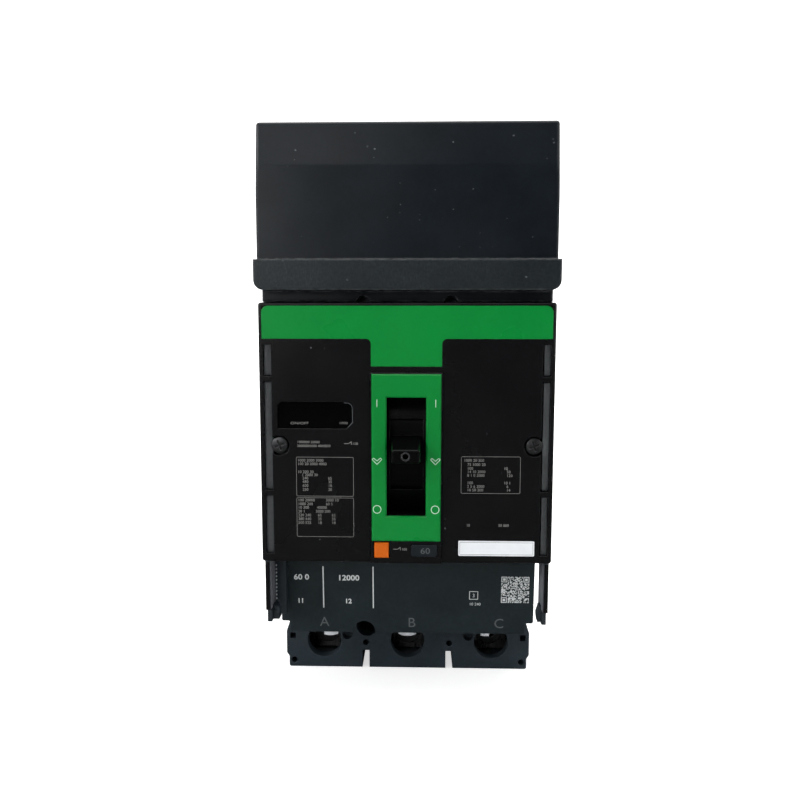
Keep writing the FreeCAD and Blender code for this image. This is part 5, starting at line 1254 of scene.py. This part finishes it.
@dataclass(frozen=True)
class TripPanelPrint(Fitting):
    """Bars, plain numbers, phase letters and a patch on the trip unit's label face."""

    slope: float = 2.8
    rise: float = 36.0
    bars: tuple[float, ...] = (-33.0, -13.3)
    bar_half: float = 0.22
    bar_low: float = -49.3
    bar_high: float = -31.9
    numbers: tuple[PanelNumber, ...] = (
        ("60 0", -41.6, -36.4, 2.3, 1.1, 0.07), ("11", -42.1, -46.4, 2.0, 1.0, 0.06),
        ("12000", -23.0, -36.6, 2.3, 1.1, 0.07), ("12", -23.2, -46.4, 2.0, 1.0, 0.06))
    square: Box = (24.5, -45.2, 28.0, -41.7)
    square_numbers: tuple[PanelNumber, ...] = (
        ("3", 26.25, -43.5, 1.5, 1.0, 0.0), ("10 240", 26.8, -47.1, 1.2, 1.0, 0.0))
    letters: tuple[tuple[str, float], ...] = (("A", -32.8), ("B", 1.9), ("C", 36.4))
    letter_z: float = -55.2
    letter: float = 4.2
    patch: tuple[float, float] = (37.0, -46.4)
    patch_cells: int = 33
    patch_side: float = 10.9
    patch_lift: float = 0.02
    patch_share: float = 0.46
    corner_cells: int = 7

    def build(self) -> None:
        """Prints the panel; its marks are placed by their Z, and slide up its sloping face."""
        low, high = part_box("trip_unit_case")
        upward = Vector((0, -self.slope, self.rise)).normalized()
        face = Face(Vector((0, low.y, high.z)), RIGHT, upward)
        top = high.z / MM
        draft = Draft("panel_print")
        for u in self.bars:
            draft.slab(face, rounded(u - self.bar_half, self.bar_low - top, u + self.bar_half,
                                     self.bar_high - top, 0.05), 0.0, 0.03)
        self._numbers(draft, face, top, self.numbers)
        left, bottom, right, upper = self.square
        draft.frame_line(face, (left, bottom - top, right, upper - top), 0.1, 0.25)
        self._numbers(draft, face, top, self.square_numbers)
        self.settle(draft, "white_ink")
        self._patch(face, top)
        letters = Draft("phase_letters")
        for letter, u in self.letters:
            letters.digits(face, letter, u, self.letter_z - top, self.letter, 0.05)
        self.settle(letters, "dim_ink")

    @staticmethod
    def _numbers(draft: Draft, face: Face, top: float, numbers: Sequence[PanelNumber]) -> None:
        """Prints numbers.

        Args:
            draft: where they go.
            face: where they lie.
            top: the face's upper edge.
            numbers: text, X, Z, height, stretch and weight of each.
        """
        for text, u, v, height, stretch, weight in numbers:
            draft.digits(face, text, u, v - top, height, stretch=stretch, weight=weight)

    def _patch(self, face: Face, top: float) -> None:
        """Prints loose squares and three corner marks where a code may go.

        Args:
            face: where it lies.
            top: the face's upper edge.
        """
        draft = Draft("code_patch")
        left, low = self.patch[0], self.patch[1] - top
        count, mark = self.patch_cells, self.corner_cells
        cell = self.patch_side / count
        far = (count - mark) * cell
        for u, v in ((left, low), (left, low + far), (left + far, low + far)):
            draft.frame_line(face, (u, v, u + mark * cell, v + mark * cell), 0.06, cell,
                             self.patch_lift)
            draft.slab(face, rounded(u + 2 * cell, v + 2 * cell, u + (mark - 2) * cell,
                                     v + (mark - 2) * cell, 0.05), 0.0, self.patch_lift)
        last = count - mark - 1
        for row in range(count):
            for column in range(count):
                marked = ((column <= mark and (row <= mark or row >= last))
                          or (column >= last and row >= last))
                if not marked and random.random() < self.patch_share:
                    u, v = left + column * cell, low + row * cell
                    draft.slab(face, [(u, v), (u + cell, v), (u + cell, v + cell), (u, v + cell)],
                               0.0, self.patch_lift)
        self.settle(draft, "white_ink")


@dataclass(frozen=True)
class WingLining(Fitting):
    """Linings, rims, webs and feet of the two side wings, with the left one's teeth and boss; the
    pale linings are painted light on the wings' inner faces.
    """

    inside: float = 50.7
    outside: float = 52.27
    wing_front: float = 81.0
    skin: float = 0.35
    low: float = -43.5
    high: float = -25.0
    front: float = 80.4
    step: float = 73.0
    rear_left: float = 56.0
    rear_right: float = 71.2
    web_low: float = -50.0
    web_front: float = 69.0
    web_edges: tuple[float, float] = (-50.9, -46.9)
    foot_front: float = 78.0
    feet: tuple[Outline, ...] = (
        ((-51.7, -48.3), (-48.0, -48.3), (-47.8, -48.0), (-47.8, -44.4), (-48.3, -43.4),
         (-49.6, -42.8), (-51.7, -42.8)),
        ((49.1, -48.3), (51.7, -48.3), (51.7, -42.0), (49.7, -42.0), (48.7, -45.2),
         (48.8, -46.4)))
    boss: tuple[float, float, float] = (-49.3, -45.8, 1.35)
    teeth: int = 10
    first_tooth: float = -29.9
    pitch: float = 1.46
    tooth: float = 0.3
    tooth_depth: float = 70.4

    def build(self) -> None:
        """Builds the painted-light linings, the web with the feet, the rims and the teeth."""
        # pale linings on the wings' inner faces: case slate painted lighter, as painted light where
        # those faces catch the side lamps
        pale = Draft("wing_painted_light_linings")
        self._plate(pale, -1, self.step, self.front, self.low, self.high, 0.0, self.skin)
        self._plate(pale, 1, self.rear_right, self.front, self.low, self.high, 0.0, self.skin)
        self.settle(pale, "wing_painted_light_grey", 40, "case_slate")
        dark = Draft("wing_web")
        self._plate(dark, -1, self.rear_left, self.step, self.web_low, self.high, -1.4, 0.1)
        for foot in self.feet:
            dark.slab(facing(self.foot_front), foot, -3.5, 0.0, 0.25)
        dark.slab(facing(self.foot_front), circle(*self.boss, 28), -0.3, 0.55, 0.25)
        left, right = self.web_edges
        dark.slab(facing(self.web_front), rounded(left, self.web_low, right, self.high, 0.3), -3.0,
                  0.0, 0.2)
        self.settle(dark, "case_slate", 40, "case_slate")
        rims = Draft("wing_rims")
        for sign in (-1, 1):
            left, right = sorted((sign * (self.inside + 0.05), sign * self.outside))
            rims.slab(facing(self.wing_front), rounded(left, self.low, right, self.high, 0.2),
                      -1.0, 0.06, 0.15)
        self.settle(rims, "cover_black", 40, "cover_black")
        teeth = Draft("wing_teeth")
        for index in range(self.teeth):
            v = self.first_tooth - index * self.pitch
            self._plate(teeth, -1, self.tooth_depth - self.tooth, self.tooth_depth + self.tooth,
                        v - self.tooth, v + self.tooth, 0.1, 0.55)
        self.settle(teeth, "tooth_white")

    def _plate(self, draft: Draft, sign: int, rear: float, front: float, low: float, high: float,
               start: float, end: float) -> None:
        """Adds a small plate on a wing's inner face.

        Args:
            draft: the piece.
            sign: -1 for the left wing, 1 for the right one.
            rear: its rear edge, above the mounting face.
            front: its front edge.
            low: its lowest Z.
            high: its highest Z.
            start: where it starts, in millimetres out of the wing.
            end: where it ends.
        """
        face = Face(Vector((sign * self.inside * MM, 0, 0)), Vector((0, -sign, 0)), UP)
        left, right = sorted((sign * rear, sign * front))
        draft.slab(face, rounded(left, low, right, high, 0.15), start, end, 0.1)


@dataclass(frozen=True)
class LugGlints(Fitting):
    """The pale crescent painted at the top of each lug's screw hole, as the glint seen there.

    Each glint has its pole's place, its lift, and the degrees where its arc starts and ends.
    """

    glints: tuple[tuple[int, float, int, int], ...] = (
        (-1, 0.0, -20, 28), (0, 0.1, -32, 30), (1, 0.4, -16, 12))
    pitch: float = 32.9
    arc: float = 7.5
    arc_z: float = -61.5
    arc_step: int = 2
    top_z: float = -64.6
    depth: float = 44.6
    # steel: the thickness of each painted glint slab, in millimetres
    steel: float = 0.8

    def build(self) -> None:
        """Builds the three painted glints."""
        draft = Draft("lug_glints")
        for pole, lift, first, last in self.glints:
            outline = [(pole * self.pitch + self.arc * math.sin(math.radians(turn)),
                        self.arc_z + lift - self.arc * math.cos(math.radians(turn)))
                       for turn in range(first, last + 1, self.arc_step)]
            outline += [(outline[-1][0], self.top_z), (outline[0][0], self.top_z)]
            # each crescent is a pale slab just inside the hole mouth: a painted glint, lit like the
            # front plate
            draft.slab(facing(self.depth), outline, 0.0, self.steel, 0.15)
        self.settle(draft, "glint_white", 40)


@dataclass(frozen=True)
class HandleRingHighlight(Fitting):
    """A pale ring painted round the padlock hole in the handle's tip: a painted highlight on the
    hole's rim.
    """

    axis_depth: float = 38.0
    axis_z: float = 15.6
    reach: float = 63.0
    tilt: float = 2.5
    hole: float = 1.0
    rim: float = 1.5
    sink: float = -0.4
    proud: float = 0.004

    def build(self) -> None:
        """Builds the painted highlight ring."""
        turn = math.radians(self.tilt)
        along = Vector((0, -math.cos(turn), math.sin(turn)))
        tip = Vector((0, -self.axis_depth, self.axis_z)) * MM + along * self.reach * MM
        # a pale flush band round the hole: a painted highlight on the hole's rim
        draft = Draft("handle_ring_highlight")
        draft.band(Face(tip, RIGHT, RIGHT.cross(along) * -1), circle(0, 0, self.rim),
                   circle(0, 0, self.hole), self.sink, self.proud)
        self.settle(draft, "ring_highlight_grey", 40, body="handle")


@dataclass(frozen=True)
class CrossScrews(Fitting):
    """The two cross-recessed screws of the accessory cover, in place of the plain ones.

    The profile has pairs of radius and height, from the tip to the crown of the head.
    """

    head: float = 3.0
    profile: Outline = ((1.45, -15.0), (1.5, -2.4), (2.7, -2.3), (3.0, -2.05), (3.0, -0.65),
                        (2.85, -0.3), (2.3, -0.12), (1.2, 0.0))
    facets: int = 56
    recess: float = 1.95
    recess_depth: float = 1.2
    slot: float = 0.85
    slot_turns: tuple[float, ...] = (20, 110)

    def build(self) -> None:
        """Turns both heads and cuts their crosses."""
        low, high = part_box("cover_screws")
        reach = high.x - self.head * MM
        draft, cutter = Draft("cross_screws"), Draft("cross_recess")
        for x in (-reach, reach):
            centre = Vector((x, low.y, (low.z + high.z) / 2))
            draft.lathe(centre, Vector((0, -1, 0)), self.profile, self.facets)
            for turn in self.slot_turns:
                self._slot(cutter, Face(centre, RIGHT, UP), math.radians(turn))
        tool = cutter.finish("frame")
        piece = draft.finish("frame", 35)
        carve(piece, tool)
        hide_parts("cover_screws")
        self.book.dress(piece, "black_steel")

    def _slot(self, cutter: Draft, face: Face, turn: float) -> None:
        """Adds one slot of a cross to the cutter.

        Args:
            cutter: the cutter.
            face: the head's front.
            turn: the slot's direction, in radians.
        """
        du, dv = math.cos(turn), math.sin(turn)
        corners = [(along * self.recess, side * self.slot / 2)
                   for along, side in ((-1, -1), (1, -1), (1, 1), (-1, 1))]
        cutter.slab(face, [(du * along - dv * side, dv * along + du * side)
                           for along, side in corners], -self.recess_depth, 0.4)


@dataclass(frozen=True)
class CoilSpring(Fitting):
    """Wound springs that stand in for the plain columns of a CAD node."""

    node: str
    body: str
    joint: str
    wire: float
    turns: int
    keep: float
    seat_rear: bool
    along: tuple[float, float, float] | None = None
    steps: int = 20
    sides: int = 8
    pair_width: float = 0.008

    def build(self) -> None:
        """Winds a spring over each column."""
        draft = Draft(f"{self.node}_coils")
        seat, way = Vector(), Vector()
        for way, start, length, radius in self._columns():
            seat = start + way * length if self.seat_rear else start
            draft.tube(self._coil(way, start, length, radius), self.wire * MM, self.sides)
        piece = draft.finish(self.body, 50)
        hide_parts(self.node)
        self.book.dress(piece, "spring_steel")
        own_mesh(piece)

    def _coil(self, axis: Vector, start: Vector, length: float, radius: float) -> list[Vector]:
        """Gives the centre line of one coil.

        Args:
            axis: its direction.
            start: its first end.
            length: its length.
            radius: its outer radius.

        Returns:
            The points of the line, in metres.
        """
        side = axis.orthogonal().normalized()
        other = axis.cross(side)
        wire = self.wire * MM
        points = []
        for step in range(self.turns * self.steps + 1):
            angle = 2 * math.pi * step / self.steps
            rise = wire + (length - 2 * wire) * step / (self.turns * self.steps)
            points.append(start + axis * rise + side * (radius - wire) * math.cos(angle)
                          + other * (radius - wire) * math.sin(angle))
        return points

    def _columns(self) -> list[tuple[Vector, Vector, float, float]]:
        """Finds each column's axis, start, length and radius from the node's own mesh.

        Returns:
            One row per column; the axis points towards the rear.
        """
        points = [vertex.co for vertex in frame["nodes"][self.node].data.vertices]
        low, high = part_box(self.node)
        groups = [points]
        if high.x - low.x > self.pair_width:
            groups = [[p for p in points if p.x * side > 0] for side in (-1, 1)]
        found = []
        for chosen in groups:
            middle = sum(chosen, Vector()) / len(chosen)
            axis = Vector(self.along) if self.along else self._axis(chosen, middle)
            rise = [(p - middle).dot(axis) for p in chosen]
            away = [((p - middle) - axis * (p - middle).dot(axis)).length for p in chosen]
            found.append((axis, middle + axis * min(rise), max(rise) - min(rise), max(away)))
        return found

    @staticmethod
    def _axis(points: Sequence[Vector], middle: Vector) -> Vector:
        """Finds the long direction of a slim column that lies across X.

        Args:
            points: its corners.
            middle: their middle.

        Returns:
            The direction, towards the rear.
        """
        far = max(points, key=lambda p: (p - middle).length) - middle
        axis = Vector((0.0, far.y, far.z)).normalized()
        for _ in range(3):
            rise = [(p - middle).dot(axis) for p in points]
            limit = 0.6 * max(rise)
            ends = [[p for p, height in zip(points, rise) if height * sign > limit]
                    for sign in (-1, 1)]
            gap = sum(ends[1], Vector()) / len(ends[1]) - sum(ends[0], Vector()) / len(ends[0])
            axis = Vector((0.0, gap.y, gap.z)).normalized()
        return axis if axis.y > 0 else -axis


# ---- studio ------------------------------------------------------------------


@dataclass(frozen=True)
class Lamp:
    """A square softbox: its name, place, side in metres and power in watts."""

    name: str
    place: tuple[float, float, float]
    side: float
    power: float


@dataclass(frozen=True)
class Studio:
    """Floor, backdrop, lamps, world and camera."""

    lens: float = 32.0
    sensor: float = 36.0
    camera: tuple[float, float, float] = (0.0044, -0.3358, 0.0613)
    yaw: float = 0.0266
    pitch: float = 0.101
    roll: float = 0.0012
    aim: tuple[float, float, float] = (0.0, -0.04, 0.02)
    front_room: float = 0.03
    side_room: float = 0.85
    flag: float = 0.92
    near_glow: float = 0.62
    glow_span: tuple[float, float] = (0.25, 0.8)
    ground_gap: float = 0.0002
    floor_front: float = -6.0
    bend: float = 0.5
    bend_steps: int = 12
    wall_top: float = 5.0
    columns: tuple[float, ...] = (-7.0, -0.8, 0.8, 7.0)
    lamps: tuple[Lamp, ...] = (
        Lamp("key_left", (-0.9, -0.55, 0.45), 0.5, 5.5),
        Lamp("fill_right", (0.9, -0.5, 0.3), 0.5, 2.2),
        Lamp("edge_glow", (-0.42, -1.0, 0.25), 0.22, 1.0),
        Lamp("lid_glow", (-0.22, -0.94, 0.62), 0.3, 0.5),
        Lamp("top", (0.0, 0.05, 0.85), 0.9, 8.0),
        Lamp("back_rim", (0.0, 0.6, 0.5), 0.5, 2.0))

    def build(self) -> None:
        """Sets the stage up."""
        bpy.context.scene.view_settings.view_transform = "Standard"
        self._sweep().materials.append(self._white())
        self._world()
        self._lamps()
        self._camera()

    def _sweep(self) -> bpy.types.Mesh:
        """Builds the floor that curves up into the backdrop.

        Returns:
            Its mesh.
        """
        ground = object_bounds()[0].z - self.ground_gap
        profile = [(self.floor_front, 0.0), (-0.6, 0.0), (self.bend, 0.0)]
        for step in range(1, self.bend_steps + 1):
            angle = math.radians(90 * step / self.bend_steps)
            profile.append((self.bend * (1 + math.sin(angle)), self.bend * (1 - math.cos(angle))))
        profile.append((2 * self.bend, self.wall_top))
        mesh = bmesh.new()
        rows = [[mesh.verts.new((x, y, ground + z)) for x in self.columns] for y, z in profile]
        for first, second in zip(rows, rows[1:]):
            for index in range(len(self.columns) - 1):
                mesh.faces.new((first[index], first[index + 1], second[index + 1], second[index]))
        data = bpy.data.meshes.new("studio_sweep")
        mesh.to_mesh(data)
        mesh.free()
        data.polygons.foreach_set("use_smooth", [True] * len(data.polygons))
        sweep = bpy.data.objects.new("studio_sweep", data)
        bpy.context.scene.collection.objects.link(sweep)
        sweep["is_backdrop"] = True
        return data

    def _white(self) -> bpy.types.Material:
        """Makes the floor white to the camera, dark to glossy rays, and clear from behind.

        Returns:
            The material.
        """
        made, graph, shader = new_material("studio_white")
        graph.feed(shader.inputs["Base Color"],
                   graph.blend(graph.noise(180.0, 3.0), (0.84, 0.84, 0.84), (0.88, 0.88, 0.88)))
        shader.inputs["Roughness"].default_value = 0.85
        shader.inputs["Specular IOR Level"].default_value = 0.1
        black = graph.fill("ShaderNodeBsdfDiffuse", ((0.02, 0.02, 0.02, 1.0),))
        glossy = graph.node("ShaderNodeLightPath").outputs["Is Glossy Ray"]
        flagged = self._mix(graph, graph.times(glossy, self.flag), shader, black)
        away = graph.vector("LENGTH", graph.spot())["Value"]
        lit = graph.span(away, *self.glow_span, self.near_glow, 1.0)
        glow = graph.fill("ShaderNodeEmission", (WHITE, graph.times(self._seen(graph), lit)))
        both = graph.fill("ShaderNodeAddShader", (flagged.outputs[0], glow.outputs[0]))
        behind = graph.node("ShaderNodeNewGeometry").outputs["Backfacing"]
        clear = self._mix(graph, behind, both, graph.node("ShaderNodeBsdfTransparent"))
        out = next(node for node in made.node_tree.nodes if node.type == "OUTPUT_MATERIAL")
        graph.feed(out.inputs["Surface"], clear.outputs[0])
        return made

    @staticmethod
    def _mix(graph: Graph, factor: Socket, first: bpy.types.Node,
             second: bpy.types.Node) -> bpy.types.Node:
        """Mixes two shaders.

        Args:
            graph: where they are.
            factor: 0 gives the first one, 1 the second one.
            first: a shader.
            second: a shader.

        Returns:
            The mixing node.
        """
        return graph.fill("ShaderNodeMixShader", (factor, first.outputs[0], second.outputs[0]))

    @staticmethod
    def _seen(graph: Graph) -> Socket:
        """Tells whether a ray comes from the camera or through something clear.

        Args:
            graph: the graph that asks.

        Returns:
            1 for such a ray, else 0.
        """
        path = graph.node("ShaderNodeLightPath")
        return graph.calc("MAXIMUM", path.outputs["Is Camera Ray"],
                          path.outputs["Is Transmission Ray"])

    def _world(self) -> None:
        """Makes a soft room that is white where the camera sees it."""
        world = bpy.data.worlds.new("studio_room")
        bpy.context.scene.world = world
        world.use_nodes = True
        world.node_tree.nodes.clear()
        graph = Graph(world.node_tree)
        way = graph.node("ShaderNodeTexCoord").outputs["Generated"]
        back = graph.fill("ShaderNodeSeparateXYZ", (way,)).outputs[1]
        light = graph.span(back, -0.95, 0.1, self.front_room, self.side_room, smooth=True)
        room = graph.fill("ShaderNodeBackground", ((0.93, 0.96, 1.0, 1.0), light))
        white = graph.fill("ShaderNodeBackground", (WHITE, 1.0))
        mix = self._mix(graph, self._seen(graph), room, white)
        graph.feed(graph.node("ShaderNodeOutputWorld").inputs["Surface"], mix.outputs[0])

    def _lamps(self) -> None:
        """Hangs the softboxes."""
        for lamp in self.lamps:
            light = bpy.data.lights.new(lamp.name, "AREA")
            light.energy, light.size, light.color = lamp.power, lamp.side, (1.0, 0.99, 0.98)
            hung = bpy.data.objects.new(lamp.name, light)
            hung.location = lamp.place
            toward = Vector(self.aim) - Vector(lamp.place)
            hung.rotation_euler = toward.to_track_quat("-Z", "Y").to_euler()
            bpy.context.scene.collection.objects.link(hung)

    def _camera(self) -> None:
        """Puts the camera at the front, a little above the middle."""
        data = bpy.data.cameras.new("camera")
        data.lens, data.sensor_width = self.lens, self.sensor
        data.clip_start, data.clip_end = 0.01, 20.0
        camera = bpy.data.objects.new("camera", data)
        look = Vector((-math.sin(self.yaw) * math.cos(self.pitch),
                       math.cos(self.yaw) * math.cos(self.pitch), -math.sin(self.pitch)))
        turn = look.to_track_quat("-Z", "Y").to_matrix().to_4x4()
        camera.matrix_world = (Matrix.Translation(Vector(self.camera)) @ turn
                               @ Matrix.Rotation(self.roll, 4, "Z"))
        bpy.context.scene.collection.objects.link(camera)
        bpy.context.scene.camera = camera


def main() -> None:
    """Builds the looks in order and reports each piece."""
    logging.basicConfig(level=logging.INFO, format="%(name)s %(message)s")
    random.seed(7)
    Studio().build()
    book = FinishBook()
    book.dress_cad()
    fittings = (
        CoverPrint(book), CoverFittings(book), BezelPrint(book), EscutcheonPrint(book),
        TripPanelPrint(book), WingLining(book), LugGlints(book), HandleRingHighlight(book),
        CrossScrews(book),
        CoilSpring(book, "main_springs", "handle", "handle_swing", wire=0.35, turns=26,
                   keep=0.76, seat_rear=False),
        CoilSpring(book, "trip_button_spring", "frame", "trip_button_slide", wire=0.22, turns=5,
                   keep=0.37, seat_rear=True, along=(0.0, 1.0, 0.0)))
    for fitting in fittings:
        fitting.build()
    bpy.context.view_layer.update()


if __name__ == "__main__":
    main()
